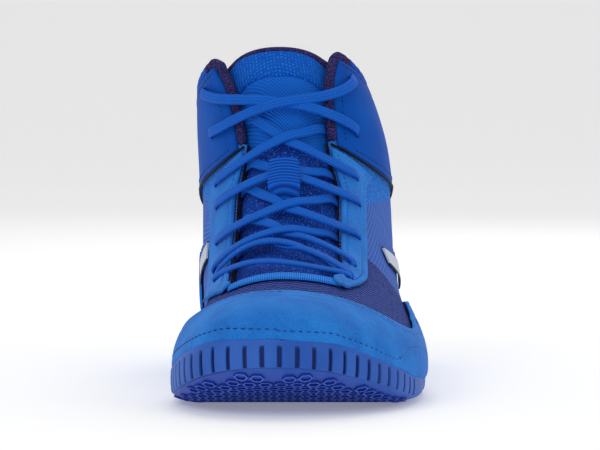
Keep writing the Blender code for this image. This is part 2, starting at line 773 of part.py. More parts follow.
def make_side_band(side):
    """One plain raised band, slanting down and back over the side."""
    first = 0 if side < 0 else 2
    table = np.array(BAND_TABLE)
    section = table[:, first]
    around = side * around_at_height(section, side, table[:, first + 1] * INSTEP_HEIGHT)
    path = list(zip(section, around))
    offset = OVERLAY_GAP + BAND_THICKNESS / 2
    name = "side_band_" + SIDE_NAMES[side]
    return bead(name, path, offset, BAND_WIDTH, BAND_THICKNESS, material("band", SILVER, 0.5))


KEEPER_START = 9.60
KEEPER_STOP = 11.00


def keeper_inside(section, around):
    """The keeper lies on the tongue at both ends and bridges the lace between."""
    share = np.clip((section - KEEPER_START) / (KEEPER_STOP - KEEPER_START), 0, 1)
    hump = np.clip(2.2 * np.sin(math.pi * share), 0, 1)
    top = LACE_LIFT + LACE_THICKNESS / 2 + 3 * FIT_GAP
    low = tongue_outside(section, around) + FIT_GAP
    return low + (top - low) * hump


def keeper_outside(section, around):
    return keeper_inside(section, around) + KEEPER_THICKNESS


def make_lace_keeper():
    """The webbing loop on the tongue that holds the lace."""
    rows = np.linspace(KEEPER_START, KEEPER_STOP, 9)
    legs = []
    for side in (-1, 1):
        def edge(section, side=side):
            return around_at_reach(section, side, KEEPER_WIDTH / 2 / BALL_WIDTH)
        legs.append(leg(side, rows, np.zeros_like, edge, 1))
    return panel("lace_keeper", legs, keeper_outside, keeper_inside, material("webbing", KNIT_BLUE, 0.7))


LACE_LIFT_ALONG = (
    # share of the way from the throat's edge to the eyelet, share of LACE_LIFT
    (0.00, 0.15),
    (0.15, 0.35),
    (0.30, 0.95),
    (1.00, 1.04),
)
LACE_START_INSET = 0.045
LACE_LOWERED = 0.0060
BAR_LOWERED = 0.0030
LACE_MIDDLES = (13.57, 11.60, 10.20, 9.12, 8.22, 7.42)
LACE_BAR_MIDDLE = 6.75
LACE_CROSSED = 0.40
LACE_UNDER = 0.10
LACE_OVER_BINDING = 0.20


def lace_end(side, row, inset=None, lowered=LACE_LOWERED):
    """A place on one side: at the eyelet, or a little way inside the throat's edge."""
    first = 0 if side < 0 else 2
    section = row[first]
    share = row[first + 1]
    if inset is not None:
        section = section - float(section_step(section, side * 0.1, lowered))
        share = float(table_at(THROAT_TABLE, 1 if side < 0 else 2, section)) - inset
    return section, side * float(around_at_reach(np.array([section]), side, share)[0])


def lace_path(start, stop, middle):
    """Sections and ways round between two places, over the ridge at the middle section."""
    share = np.linspace(0, 1, 9)
    crossing = start[1] / (start[1] - stop[1])
    straight = start[0] + (stop[0] - start[0]) * crossing
    bow = (middle - straight) / (4 * crossing * (1 - crossing))
    section = start[0] + (stop[0] - start[0]) * share + bow * 4 * share * (1 - share)
    around = start[1] + (stop[1] - start[1]) * share
    return share, crossing, section, around


def lace_run(name, start, stop, middle, both_outside, under=0.0):
    """One run of lace that lies free over the tongue and the facings."""
    share, crossing, section, around = lace_path(start, stop, middle)
    even = np.interp(share, (0, crossing, 1), (0, LACE_CROSSED, 1))
    lift = table_at(LACE_LIFT_ALONG, 1, even)
    if both_outside:
        lift = np.maximum(lift, table_at(LACE_LIFT_ALONG, 1, 1 - even)) + LACE_OVER_BINDING
    lift = lift - under * (1 - np.abs(even - LACE_CROSSED))
    finish = material("lace", LACE_BLUE, 0.7)
    path = list(zip(section, around))
    return bead(name, path, lift * LACE_LIFT, LACE_WIDTH, LACE_THICKNESS, finish, rim=4)


def make_laces():
    """The crossings of the flat lace, each joined where its two runs cross, and its bar."""
    for number, middle in enumerate(LACE_MIDDLES):
        upper = EYELET_TABLE[number]
        lower = EYELET_TABLE[number + 1]
        outside = number == 0
        inset = None if outside else LACE_START_INSET
        name = "lace_crossing_" + str(number + 1)
        runs = []
        for side, run_name, under in ((-1, name, 0.0), (1, name + "_other", LACE_UNDER)):
            start = lace_end(side, upper, inset)
            stop = lace_end(-side, lower)
            runs.append(lace_run(run_name, start, stop, middle, outside, under))
        runs[1].hide_render = True
        runs[1].display_type = "WIRE"
        unite(runs[0], runs[1])
    last = EYELET_TABLE[-1]
    start = lace_end(-1, last, LACE_START_INSET, BAR_LOWERED)
    stop = lace_end(1, last, LACE_START_INSET, BAR_LOWERED)
    section, around = lace_path(start, stop, LACE_BAR_MIDDLE)[2:]
    offset = FIT_GAP + LACE_THICKNESS / 2
    finish = material("lace", LACE_BLUE, 0.7)
    path = list(zip(section, around))
    bead("lace_bar", path, offset, LACE_WIDTH, LACE_THICKNESS, finish, rim=4)


WALL_LEVELS = (
    # share of the wall's height, and how far out the rubber stands there as a share of
    # RUBBER_WALL; the last column is 1 where a groove is cut
    (0.00, -1.10, 0),
    (0.10, 0.10, 0),
    (0.30, 0.90, 1),
    (0.75, 0.95, 1),
    (1.00, 0.62, 0),
)
WALL_REFERENCE = 0.9
HEEL_CROWDING = 1.5


def wall_hit(tree, origin, direction, side, level):
    """Where the last meets a level line that comes in from the side, and its distance."""
    y = origin[1]
    found = None
    for _ in range(4):
        low = float(underside(y))
        z = low + level * (float(wall_top(y, side)) - low)
        start = Vector((origin[0] + direction[0] * 0.2, origin[1] + direction[1] * 0.2, z))
        hit = tree.ray_cast(start, Vector((-direction[0], -direction[1], 0.0)))[0]
        if hit is None:
            return found
        found = hit
        y = hit.y
    return found


TOE_CENTRE = (-0.078, 0.190)
HEEL_CENTRE = (-0.010, 0.860)
FAN_RAYS = 36
STRAIGHT_RAYS = 30


def wall_line(tree, side):
    """A dense line round one side of the last at the wall's reference level, toe tip first."""
    toe = np.array([TOE_CENTRE[0] * BALL_WIDTH, (TOE_CENTRE[1] - 0.5) * SHOE_LENGTH])
    heel = np.array([HEEL_CENTRE[0] * BALL_WIDTH, (HEEL_CENTRE[1] - 0.5) * SHOE_LENGTH])
    line = []
    for turn in np.linspace(0, math.pi / 2, FAN_RAYS):
        line.append((toe, (side * math.sin(turn), -math.cos(turn))))
    for share in np.linspace(0, 1, STRAIGHT_RAYS)[1:-1]:
        line.append((toe + (heel - toe) * share, (side, 0.0)))
    for turn in np.linspace(0, math.pi / 2, FAN_RAYS):
        line.append((heel, (side * math.cos(turn), math.sin(turn))))
    hits = [wall_hit(tree, origin, way, side, WALL_REFERENCE) for origin, way in line]
    return np.array([(hit.x, hit.y) for hit in hits])


def wall_columns(total):
    """Places along one side's line, each with 1 inside a groove and 0 on a land."""
    edge = GROOVE_WIDTH / 2
    columns = [(0.0, 1), (edge, 0)]
    for number in range(1, GROOVES_EACH_SIDE + 1):
        centre = number * GROOVE_PITCH
        columns += [(centre - edge, 0), (centre, 1), (centre + edge, 0)]
    last = columns[-1][0]
    plain = 16
    for number in range(1, plain + 1):
        share = 1 - (1 - number / plain) ** HEEL_CROWDING
        columns.append((last + (total - last) * share, 0))
    return columns


def wall_rings(tree, side):
    """Rubber wall points of one side, a column for each place and a row for each level."""
    line = wall_line(tree, side)
    steps = np.linalg.norm(np.diff(line, axis=0), axis=1)
    arc = np.concatenate([[0], np.cumsum(steps)])
    rings = []
    for place, groove in wall_columns(arc[-1]):
        here = np.array([np.interp(place, arc, line[:, 0]), np.interp(place, arc, line[:, 1])])
        reach = 0.004
        before = np.array([np.interp(place - reach, arc, line[:, k]) for k in (0, 1)])
        after = np.array([np.interp(place + reach, arc, line[:, k]) for k in (0, 1)])
        along = after - before
        way = np.array([along[1], -along[0]]) * side
        if place < reach:
            way = way + np.array([0.0, -1.0]) * np.linalg.norm(way) * 3 * (1 - place / reach)
        if arc[-1] - place < reach:
            way = way + np.array([0.0, 1.0]) * np.linalg.norm(way) * 3 * (1 - (arc[-1] - place) / reach)
        if place == 0.0:
            way = np.array([0.0, -1.0])
        if place == arc[-1]:
            way = np.array([0.0, 1.0])
        way = way / np.linalg.norm(way)
        ring = []
        for level, proud, cut in WALL_LEVELS:
            hit = wall_hit(tree, (here[0], here[1]), way, side, level)
            out = 0.0
            if hit is not None:
                out = max(out, float(np.dot(np.array([hit.x, hit.y]) - here, way)))
            out += SOLE_GAP + proud * RUBBER_WALL - cut * groove * GROOVE_DEPTH
            point = here + way * out
            low = float(underside(point[1])) + LUG_HEIGHT
            high = float(wall_top(point[1], side))
            ring.append((point[0], point[1], low + level * (high - low)))
        rings.append(ring)
    return rings


ACROSS = 4


def make_sole_blank(tree):
    """The sole before it is hollowed: walls all round, a curved underside and a lid."""
    medial = np.array(wall_rings(tree, -1))
    lateral = np.array(wall_rings(tree, 1))
    lateral[0] = medial[0]
    lateral[-1] = medial[-1]
    count, levels = medial.shape[:2]
    points = []
    for k in range(count):
        row = [medial[k, level] for level in range(levels - 1, -1, -1)]
        for step in range(1, ACROSS):
            share = step / ACROSS
            point = medial[k, 0] * (1 - share) + lateral[k, 0] * share
            point[2] = float(underside(point[1])) + LUG_HEIGHT
            row.append(point)
        row += [lateral[k, level] for level in range(levels)]
        row.append((lateral[k, -1] + medial[k, -1]) / 2)
        points += row
    width = len(points) // count
    faces = []
    for k in range(count - 1):
        for c in range(width):
            n = (c + 1) % width
            faces.append((k * width + c, k * width + n, (k + 1) * width + n, (k + 1) * width + c))
    return make_object("outsole", points, faces, material("rubber", RUBBER_BLUE, 0.6))


def last_mesh(name, offset, columns=QUARTER_COLUMNS):
    """The whole last as a closed form, grown by the offset, on the same lines as the upper."""
    rows = [row for row in VAMP_ROWS + QUARTER_ROWS if row < 14.5]
    legs = []
    for side in (-1, 1):
        def edge(section, side=side):
            return throat_edge(section, side)
        legs.append(leg(side, rows, np.zeros_like, edge, VAMP_COLUMNS))
        legs.append(leg(side, rows, edge, lasting_edge, columns))
        legs.append(leg(side, rows, lasting_edge, np.ones_like, 3))
    places, faces = cells(legs)
    points = last_form(places[:, 0], places[:, 1], offset)
    rim = open_edges(faces)
    centre = np.mean([points[start] for start, _ in rim], axis=0)
    faces += [(stop, start, len(points)) for start, stop in rim]
    return cutter_object(name, np.vstack([points, centre]), faces)


LUG_PADS = (
    # the two large flat pads: way along the shoe, and way across from the sole's middle
    (0.300, 0.0),
    (0.850, 0.0),
)
PAD_SIZE = 0.012
LUG_MARGIN = 0.0075


def prism(x, y, radius, low, high, sides):
    """Points and faces of one upright prism; low may differ from corner to corner."""
    points = []
    for level in (low, high):
        for corner in range(sides):
            turn = (corner + 0.5) * 2 * math.pi / sides
            px = x + radius * math.cos(turn)
            py = y + radius * math.sin(turn)
            points.append((px, py, level(py)))
    faces = [tuple(reversed(range(sides))), tuple(range(sides, 2 * sides))]
    faces += [(c, (c + 1) % sides, (c + 1) % sides + sides, c + sides) for c in range(sides)]
    return points, faces


def make_lugs(medial_edge, lateral_edge):
    """Six-sided lugs under the forefoot and the heel, with one large flat pad in each."""
    points = []
    faces = []

    def add(x, y, radius, sides=6):
        made = prism(
            x, y, radius,
            lambda py: float(underside(py)),
            lambda py: float(underside(py)) + LUG_HEIGHT * 1.8,
            sides,
        )
        faces.extend(tuple(corner + len(points) for corner in face) for face in made[1])
        points.extend(made[0])

    pads = []
    for along, across in LUG_PADS:
        y = (along - 0.5) * SHOE_LENGTH
        x = (np.interp(y, *medial_edge) + np.interp(y, *lateral_edge)) / 2 + across
        pads.append((x, y))
        add(x, y, PAD_SIZE, 12)
    row_pitch = LUG_PITCH * math.sqrt(3) / 2
    for number in range(int(SHOE_LENGTH / row_pitch)):
        y = (number + 0.5) * row_pitch - SHOE_LENGTH / 2
        along = y / SHOE_LENGTH + 0.5
        if 0.46 < along < 0.74:
            continue
        reach = np.array((y - LUG_SIZE, y, y + LUG_SIZE))
        left = np.max(np.interp(reach, *medial_edge)) + LUG_MARGIN
        right = np.min(np.interp(reach, *lateral_edge)) - LUG_MARGIN
        middle = (left + right) / 2
        shift = (number % 2) / 2
        for step in range(-6, 7):
            x = middle + (step + shift) * LUG_PITCH
            if not left < x < right:
                continue
            if any(math.hypot(x - px, y - py) < PAD_SIZE + LUG_SIZE + FIT_GAP for px, py in pads):
                continue
            add(x, y, LUG_SIZE)
    return cutter_object("lugs", points, faces)


def make_outsole():
    """The rubber cup sole: ribbed toe bumper, low walls, arch, toe spring, heel and lugs."""
    last = last_mesh("last_form", 0.0, columns=2 * QUARTER_COLUMNS)
    graph = bpy.context.evaluated_depsgraph_get()
    tree = BVHTree.FromObject(last, graph)
    blank = make_sole_blank(tree)
    medial = np.array(wall_rings(tree, -1))[:, 0]
    lateral = np.array(wall_rings(tree, 1))[:, 0]
    medial_edge = (medial[:, 1], medial[:, 0])
    lateral_edge = (lateral[:, 1], lateral[:, 0])
    subtract(blank, last_mesh("last_with_gap", SOLE_GAP))
    unite(blank, make_lugs(medial_edge, lateral_edge))
    return blank


def eyelet_cutter(name, side, eyelets):
    """Slots through the facing and the upper, one for each eyelet on this side."""
    first = 0 if side < 0 else 2
    points = []
    faces = []
    depth = UPPER_WALL + SUEDE_THICKNESS + BINDING_PROUD
    for row in eyelets:
        section = np.array([row[first]])
        around = side * around_at_reach(section, side, row[first + 1])
        middle = last_surface(section, around)[0]
        up = last_normal(section, around)[0]
        aside = last_surface(section, around + side * 0.01)[0] - middle
        aside = aside / np.linalg.norm(aside)
        along = np.cross(up, aside)
        base = len(points)
        for level in (-depth, depth):
            for corner in range(8):
                turn = (corner + 0.5) * math.pi / 4
                across = math.cos(turn) * EYELET_WIDTH / 2
                lengthways = math.sin(turn) * EYELET_LENGTH / 2
                points.append(middle + up * level + aside * across + along * lengthways)
        faces += [tuple(base + c for c in range(8)), tuple(base + 15 - c for c in range(8))]
        faces += [
            (base + c, base + (c + 1) % 8, base + (c + 1) % 8 + 8, base + c + 8) for c in range(8)
        ]
    return cutter_object(name, points, faces)


def build_shoe():
    """Builds every piece in the order in which the shoe is put together."""
    for old in list(bpy.data.objects):
        bpy.data.objects.remove(old)
    piping_front = COLLAR_TABLE[0][2]
    cuff_eyelets = [row for row in EYELET_TABLE if row[0] > piping_front]
    facing_eyelets = [row for row in EYELET_TABLE if row[0] < piping_front]
    make_outsole()
    make_insole()
    upper = make_upper()
    make_tongue()
    make_toe_cap()
    make_heel_counter()
    make_vamp_edge()
    make_lace_keeper()
    make_collar_binding()
    for side in (-1, 1):
        eyestay = make_eyestay(side)
        cuff = make_cuff(side)
        make_front_binding(side)
        make_piping(side)
        make_side_band(side)
        high = eyelet_cutter("cuff_slots_" + SIDE_NAMES[side], side, cuff_eyelets)
        low = eyelet_cutter("facing_slots_" + SIDE_NAMES[side], side, facing_eyelets)
        subtract(upper, high)
        subtract(upper, low)
        subtract(cuff, high)
        subtract(eyestay, low)
    make_laces()


build_shoe()
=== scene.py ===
"""A left wrestling shoe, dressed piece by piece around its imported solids, in metres.

Toe towards -Y, heel towards +Y, the foot's inner side (medial) at -X, up is +Z.
A place on the upper is a section number, from the toe tip to the collar, and a way
round, from 0 at the front ridge to -1 and 1 at the sole's middle and the heel's back.
"""
import math

import bmesh
import bpy
import numpy as np
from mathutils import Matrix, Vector
from mathutils.bvhtree import BVHTree
from mathutils.kdtree import KDTree


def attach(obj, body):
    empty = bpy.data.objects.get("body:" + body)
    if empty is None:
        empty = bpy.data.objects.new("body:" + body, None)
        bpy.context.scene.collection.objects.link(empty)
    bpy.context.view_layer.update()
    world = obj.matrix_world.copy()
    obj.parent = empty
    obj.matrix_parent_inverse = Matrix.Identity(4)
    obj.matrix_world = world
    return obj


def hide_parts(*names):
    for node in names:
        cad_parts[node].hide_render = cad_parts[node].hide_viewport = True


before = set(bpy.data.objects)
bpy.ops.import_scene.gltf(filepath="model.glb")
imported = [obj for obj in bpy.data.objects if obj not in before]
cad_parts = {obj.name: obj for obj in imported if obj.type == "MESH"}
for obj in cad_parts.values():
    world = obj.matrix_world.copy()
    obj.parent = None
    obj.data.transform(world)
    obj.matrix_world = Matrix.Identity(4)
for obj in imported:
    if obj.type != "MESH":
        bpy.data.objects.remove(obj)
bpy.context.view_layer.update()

scene = bpy.context.scene


# Camera. A long lens from the front and a little above, as for a shop picture, with all of
# the shoe sharp.
CAMERA_DISTANCE = 1.5
CAMERA_RISE = math.radians(3.0)
LOOKED_AT = (0.0, 0.0, 0.0696)
camera_data = bpy.data.cameras.new("camera")
camera_data.lens = 206.8
camera_data.sensor_width = 36.0
camera = bpy.data.objects.new("camera", camera_data)
scene.collection.objects.link(camera)
camera.location = (
    LOOKED_AT[0],
    LOOKED_AT[1] - CAMERA_DISTANCE * math.cos(CAMERA_RISE),
    LOOKED_AT[2] + CAMERA_DISTANCE * math.sin(CAMERA_RISE),
)
camera.rotation_euler = (math.pi / 2 - CAMERA_RISE, 0.0, 0.0)
scene.camera = camera


# Outsole. A thin moulded rubber cup: a ribbed bumper round the toe, low side walls, an
# arch, toe spring, and six-sided rings underneath. The upper is cemented into it. Its
# inside and every other piece follow the last, the foot form that the shoe is made on.
SHOE_LENGTH = 0.289
BALL_WIDTH = 0.1045
INSTEP_HEIGHT = 0.066
SHAFT_RISE = 0.078
BACK_HEIGHT = 0.122
TOE_SPRING = 0.018
ARCH_RISE = 0.006
SOLE_THICKNESS = 0.005
TOE_BUMPER_HEIGHT = 0.031
SIDE_WALL_HEIGHT = 0.009
RUBBER_WALL = 0.0026
LUG_HEIGHT = 0.0010
GROOVE_PITCH = 0.0066

# Sections of the last, from the toe tip round the foot to the top of the shaft.
# Each section lies in a plane through its top point (toe box, instep, front of the shaft)
# and its low point (under the sole, then up the back of the heel).
# top_y and low_y are shares of SHOE_LENGTH from the toe tip. The top point's height is
# instep * INSTEP_HEIGHT + shaft * SHAFT_RISE, and the low point's is
# SOLE_THICKNESS + spring * TOE_SPRING + back * BACK_HEIGHT.
# ridge, keel, medial and lateral are shares of BALL_WIDTH: the two middle lines and the
# half widths. widest is the share of the way down where the section is widest.
SECTION_COLUMNS = (
    "top_y", "instep", "shaft", "low_y", "spring", "back", "ridge", "keel",
    "medial", "lateral", "widest", "top_power", "low_power",
)
SECTION_TABLE = (
    (0.014, 0.394, 0.000, 0.014, 1.17, 0.000, -0.095, -0.095, 0.000, 0.000, 0.50, 2.3, 2.3),
    (0.028, 0.530, 0.000, 0.028, 0.86, 0.000, -0.093, -0.083, 0.158, 0.158, 0.55, 2.4, 2.4),
    (0.050, 0.614, 0.000, 0.053, 0.64, 0.000, -0.091, -0.071, 0.249, 0.257, 0.65, 2.3, 2.8),
    (0.083, 0.662, 0.000, 0.090, 0.42, 0.000, -0.087, -0.053, 0.319, 0.351, 0.73, 2.2, 3.3),
    (0.128, 0.697, 0.000, 0.142, 0.20, 0.000, -0.079, -0.031, 0.373, 0.440, 0.78, 2.1, 3.7),
    (0.187, 0.732, 0.000, 0.218, 0.06, 0.000, -0.070, -0.011, 0.412, 0.512, 0.79, 2.1, 4.0),
    (0.256, 0.792, 0.000, 0.298, 0.00, 0.000, -0.065, 0.007, 0.411, 0.551, 0.81, 2.0, 4.0),
    (0.336, 0.886, 0.000, 0.381, 0.00, 0.000, -0.062, 0.021, 0.380, 0.556, 0.84, 2.0, 4.0),
    (0.408, 1.000, 0.000, 0.474, 0.00, 0.008, -0.062, 0.037, 0.356, 0.537, 0.85, 2.0, 3.8),
    (0.464, 1.000, 0.167, 0.595, 0.00, 0.033, -0.062, 0.043, 0.336, 0.502, 0.81, 2.0, 3.3),
    (0.509, 1.000, 0.320, 0.734, 0.00, 0.020, -0.063, 0.021, 0.349, 0.483, 0.66, 2.0, 2.9),
    (0.540, 1.000, 0.449, 0.865, 0.00, 0.008, -0.065, -0.003, 0.356, 0.474, 0.56, 2.0, 2.9),
    (0.561, 1.000, 0.564, 0.960, 0.00, 0.033, -0.066, -0.010, 0.358, 0.469, 0.50, 2.0, 2.7),
    (0.574, 1.000, 0.667, 0.988, 0.00, 0.205, -0.068, -0.012, 0.357, 0.464, 0.50, 2.1, 2.4),
    (0.585, 1.000, 0.769, 0.982, 0.00, 0.451, -0.071, -0.022, 0.357, 0.445, 0.50, 2.2, 2.3),
    (0.595, 1.000, 0.878, 0.966, 0.00, 0.680, -0.077, -0.036, 0.357, 0.407, 0.50, 2.2, 2.2),
    (0.609, 1.000, 1.000, 0.958, 0.00, 0.861, -0.082, -0.060, 0.356, 0.364, 0.50, 2.2, 2.2),
    (0.626, 1.000, 1.115, 0.963, 0.00, 1.025, -0.087, -0.074, 0.354, 0.349, 0.50, 2.2, 2.2),
    (0.640, 1.000, 1.230, 0.972, 0.00, 1.156, -0.089, -0.079, 0.349, 0.340, 0.50, 2.2, 2.2),
)

# Underside of the sole and top of its side walls, by the way along the shoe.
# spring and arch are shares of TOE_SPRING and ARCH_RISE. The walls' heights are
# bumper * TOE_BUMPER_HEIGHT + wall * SIDE_WALL_HEIGHT.
SOLE_TABLE = (
    # along, spring, arch, medial bumper and wall, lateral bumper and wall
    (0.000, 1.00, 0.0, 1.00, 0.0, 1.00, 0.0),
    (0.035, 0.76, 0.0, 0.97, 0.0, 0.93, 0.0),
    (0.087, 0.48, 0.0, 0.80, 0.0, 0.71, 0.0),
    (0.138, 0.25, 0.0, 0.66, 0.0, 0.54, 0.0),
    (0.190, 0.07, 0.0, 0.54, 0.0, 0.40, 0.0),
    (0.242, 0.00, 0.0, 0.22, 0.75, 0.14, 0.70),
    (0.300, 0.00, 0.0, 0.10, 1.05, 0.00, 1.00),
    (0.430, 0.00, 0.0, 0.00, 1.20, 0.00, 1.10),
    (0.520, 0.00, 0.7, 0.00, 1.40, 0.00, 1.25),
    (0.600, 0.00, 1.0, 0.00, 1.50, 0.00, 1.35),
    (0.680, 0.00, 0.5, 0.00, 1.45, 0.00, 1.40),
    (0.740, 0.00, 0.0, 0.00, 1.45, 0.00, 1.45),
    (0.900, 0.00, 0.0, 0.00, 1.65, 0.00, 1.65),
    (1.000, 0.17, 0.0, 0.00, 1.90, 0.00, 1.90),
)


def spline_rows(rows, at):
    """Smooth curve through evenly numbered rows, read at the numbers in at."""
    at = np.clip(np.asarray(at, float), 0.0, len(rows) - 3.0)
    first = np.minimum(at.astype(int), len(rows) - 4)
    t = (at - first)[..., None]
    p0, p1, p2, p3 = (rows[first + k] for k in range(4))
    curve = 2 * p1 + (p2 - p0) * t + (2 * p0 - 5 * p1 + 4 * p2 - p3) * t ** 2
    return (curve + (3 * p1 - p0 - 3 * p2 + p3) * t ** 3) / 2


def last_rows():
    """The section table in metres, with one more row at each end for the curve."""
    table = np.array(SECTION_TABLE)
    column = {name: table[:, k] for k, name in enumerate(SECTION_COLUMNS)}
    top_z = column["instep"] * INSTEP_HEIGHT + column["shaft"] * SHAFT_RISE
    low_z = SOLE_THICKNESS + column["spring"] * TOE_SPRING + column["back"] * BACK_HEIGHT
    low_z[0] = top_z[0]
    rows = np.stack([
        (column["top_y"] - 0.5) * SHOE_LENGTH,
        top_z,
        (column["low_y"] - 0.5) * SHOE_LENGTH,
        low_z,
        column["ridge"] * BALL_WIDTH,
        column["keel"] * BALL_WIDTH,
        column["medial"] * BALL_WIDTH,
        column["lateral"] * BALL_WIDTH,
        column["widest"],
        column["top_power"],
        column["low_power"],
    ], axis=1)
    before = rows[1].copy()
    before[:4] = rows[1][[2, 3, 0, 1]]
    before[6:8] = -rows[1][6:8]
    after = 2 * rows[-1] - rows[-2]
    return np.vstack([before, rows, after])


LAST_ROWS = last_rows()


def last_surface(section, around):
    """Points of the upper's outer face. around runs from 0 at the ridge to -1 and 1 at the keel."""
    around = (np.asarray(around, float) + 1) % 2 - 1
    row = spline_rows(LAST_ROWS, section)
    top_y, top_z, low_y, low_z, ridge, keel, medial, lateral, widest, top_power, low_power = (
        row[..., k] for k in range(11)
    )
    side = np.where(around < 0, -1.0, 1.0)
    half = np.where(around < 0, medial, lateral)
    turn = np.abs(around) * math.pi
    above = turn <= math.pi / 2
    power = np.where(above, top_power, low_power)
    across = np.abs(np.sin(turn)) ** (2 / power)
    down = np.abs(np.cos(turn)) ** (2 / power)
    along = np.where(above, widest * (1 - down), widest + (1 - widest) * down)
    middle = np.where(above, ridge, across * ridge + (1 - across) * keel)
    x = middle + side * half * across
    y = top_y + (low_y - top_y) * along
    z = top_z + (low_z - top_z) * along
    return np.stack([x, y, z], axis=-1)


def last_normal(section, around):
    """Outward unit normals of last_surface."""
    step = 0.01
    section = np.maximum(np.asarray(section, float), 0.06)
    around = np.asarray(around, float)
    along = last_surface(section + step, around) - last_surface(section - step, around)
    across = last_surface(section, around + step) - last_surface(section, around - step)
    normal = np.cross(across, along)
    return normal / np.linalg.norm(normal, axis=-1, keepdims=True)


def last_form(section, around, offset):
    """The last, grown outwards by offset, which is a length or a function of the place."""
    if callable(offset):
        offset = offset(section, around)
    offset = np.asarray(offset, float)
    return last_surface(section, around) + last_normal(section, around) * offset[..., None]


def table_at(table, column, at):
    """A value of a short table, read at the numbers in its first column."""
    rows = np.array(table, float)
    return np.interp(at, rows[:, 0], rows[:, column])


def around_at_reach(section, side, share):
    """The way round at which the section's top half reaches share * BALL_WIDTH from the ridge."""
    row = spline_rows(LAST_ROWS, section)
    half = row[..., 6] if side < 0 else row[..., 7]
    reach = np.clip(share * BALL_WIDTH / np.maximum(half, 1e-6), 0.0, 1.0)
    return np.arcsin(reach ** (row[..., 9] / 2)) / math.pi


HALVINGS = 30


def way_down(section, is_above):
    """The way round, 0 to 1, at which the sections come down past what the test names."""
    low = np.zeros_like(section)
    high = np.ones_like(section)
    for _ in range(HALVINGS):
        middle = (low + high) / 2
        above = is_above(middle)
        low = np.where(above, middle, low)
        high = np.where(above, high, middle)
    return (low + high) / 2


def around_at_height(section, side, height):
    """The way round at which the section has come down to the height, 0 to 1."""
    return way_down(section, lambda around: last_surface(section, side * around)[..., 2] > height)


def wall_top(y, side):
    """Height of the rubber wall's top at a place along the shoe."""
    along = y / SHOE_LENGTH + 0.5
    first = 3 if side < 0 else 5
    bumper = table_at(SOLE_TABLE, first, along)
    wall = table_at(SOLE_TABLE, first + 1, along)
    return bumper * TOE_BUMPER_HEIGHT + wall * SIDE_WALL_HEIGHT


def underside(y):
    """Height of the sole's underside at a place along the shoe."""
    along = y / SHOE_LENGTH + 0.5
    spring = table_at(SOLE_TABLE, 1, along)
    arch = table_at(SOLE_TABLE, 2, along)
    return spring * TOE_SPRING + arch * ARCH_RISE


def around_at_rubber(section, side, clearance):
    """The way round at which the section comes down to the rubber wall's top."""
    def above_wall(around):
        point = last_surface(section, side * around)
        return point[..., 2] > wall_top(point[..., 1], side) + clearance
    return way_down(section, above_wall)
def linear(colour):
    """A colour given as it looks, 0 to 255, turned into the shader's own numbers."""
    return (*(((level / 255 + 0.055) / 1.055) ** 2.4 for level in colour), 1.0)


def finish_named(name, colour, roughness):
    """A new Principled material with its tree and its shader."""
    made = bpy.data.materials.new(name)
    made.use_nodes = True
    shader = made.node_tree.nodes["Principled BSDF"]
    shader.inputs["Base Color"].default_value = linear(colour)
    shader.inputs["Roughness"].default_value = roughness
    shader.inputs["Specular IOR Level"].default_value = 0.15
    return made, made.node_tree, shader


def add_node(tree, kind, settings=(), **inputs):
    """A node with its settings, given as pairs, and its inputs set or linked by name."""
    made = tree.nodes.new(kind)
    for name, value in settings:
        setattr(made, name, value)
    for name, value in inputs.items():
        socket = made.inputs[name.replace("_", " ")]
        if isinstance(value, bpy.types.NodeSocket):
            tree.links.new(value, socket)
        else:
            socket.default_value = value
    return made


def calc(tree, operation, first, second=0.0):
    """One step of arithmetic on two sockets or numbers."""
    made = tree.nodes.new("ShaderNodeMath")
    made.operation = operation
    for socket, value in zip(made.inputs, (first, second)):
        if isinstance(value, bpy.types.NodeSocket):
            tree.links.new(value, socket)
        else:
            socket.default_value = value
    return made.outputs[0]


def noise(tree, scale, detail=2.0):
    """Cloudy variation fixed to the piece, 0 to 1, scale in turns a metre."""
    place = tree.nodes.new("ShaderNodeTexCoord").outputs["Object"]
    return add_node(tree, "ShaderNodeTexNoise", Vector=place, Scale=scale, Detail=detail).outputs["Fac"]


def ramp(tree, value, low, high):
    """Stretches a value so that low becomes 0 and high becomes 1."""
    made = add_node(tree, "ShaderNodeMapRange", Value=value, From_Min=low, From_Max=high)
    return made.outputs["Result"]


def blend_colours(tree, share, first, second):
    """A colour between two, each a socket or a colour as it looks."""
    made = tree.nodes.new("ShaderNodeMix")
    made.data_type = "RGBA"
    for socket, value in ((made.inputs[0], share), (made.inputs[6], first), (made.inputs[7], second)):
        if isinstance(value, bpy.types.NodeSocket):
            tree.links.new(value, socket)
        else:
            socket.default_value = linear(value)
    return made.outputs[2]


def set_relief(tree, shader, height, distance, strength):
    """Fine relief on the surface, in metres."""
    made = add_node(tree, "ShaderNodeBump", Height=height, Distance=distance, Strength=strength)
    tree.links.new(made.outputs["Normal"], shader.inputs["Normal"])


def set_colour(tree, shader, colour):
    """Links a colour to the shader."""
    tree.links.new(colour, shader.inputs["Base Color"])


def dress(tree, shader, share, first, second, height, distance, strength):
    """A surface of two colours blended by a share, with fine relief."""
    set_colour(tree, shader, blend_colours(tree, share, first, second))
    set_relief(tree, shader, height, distance, strength)


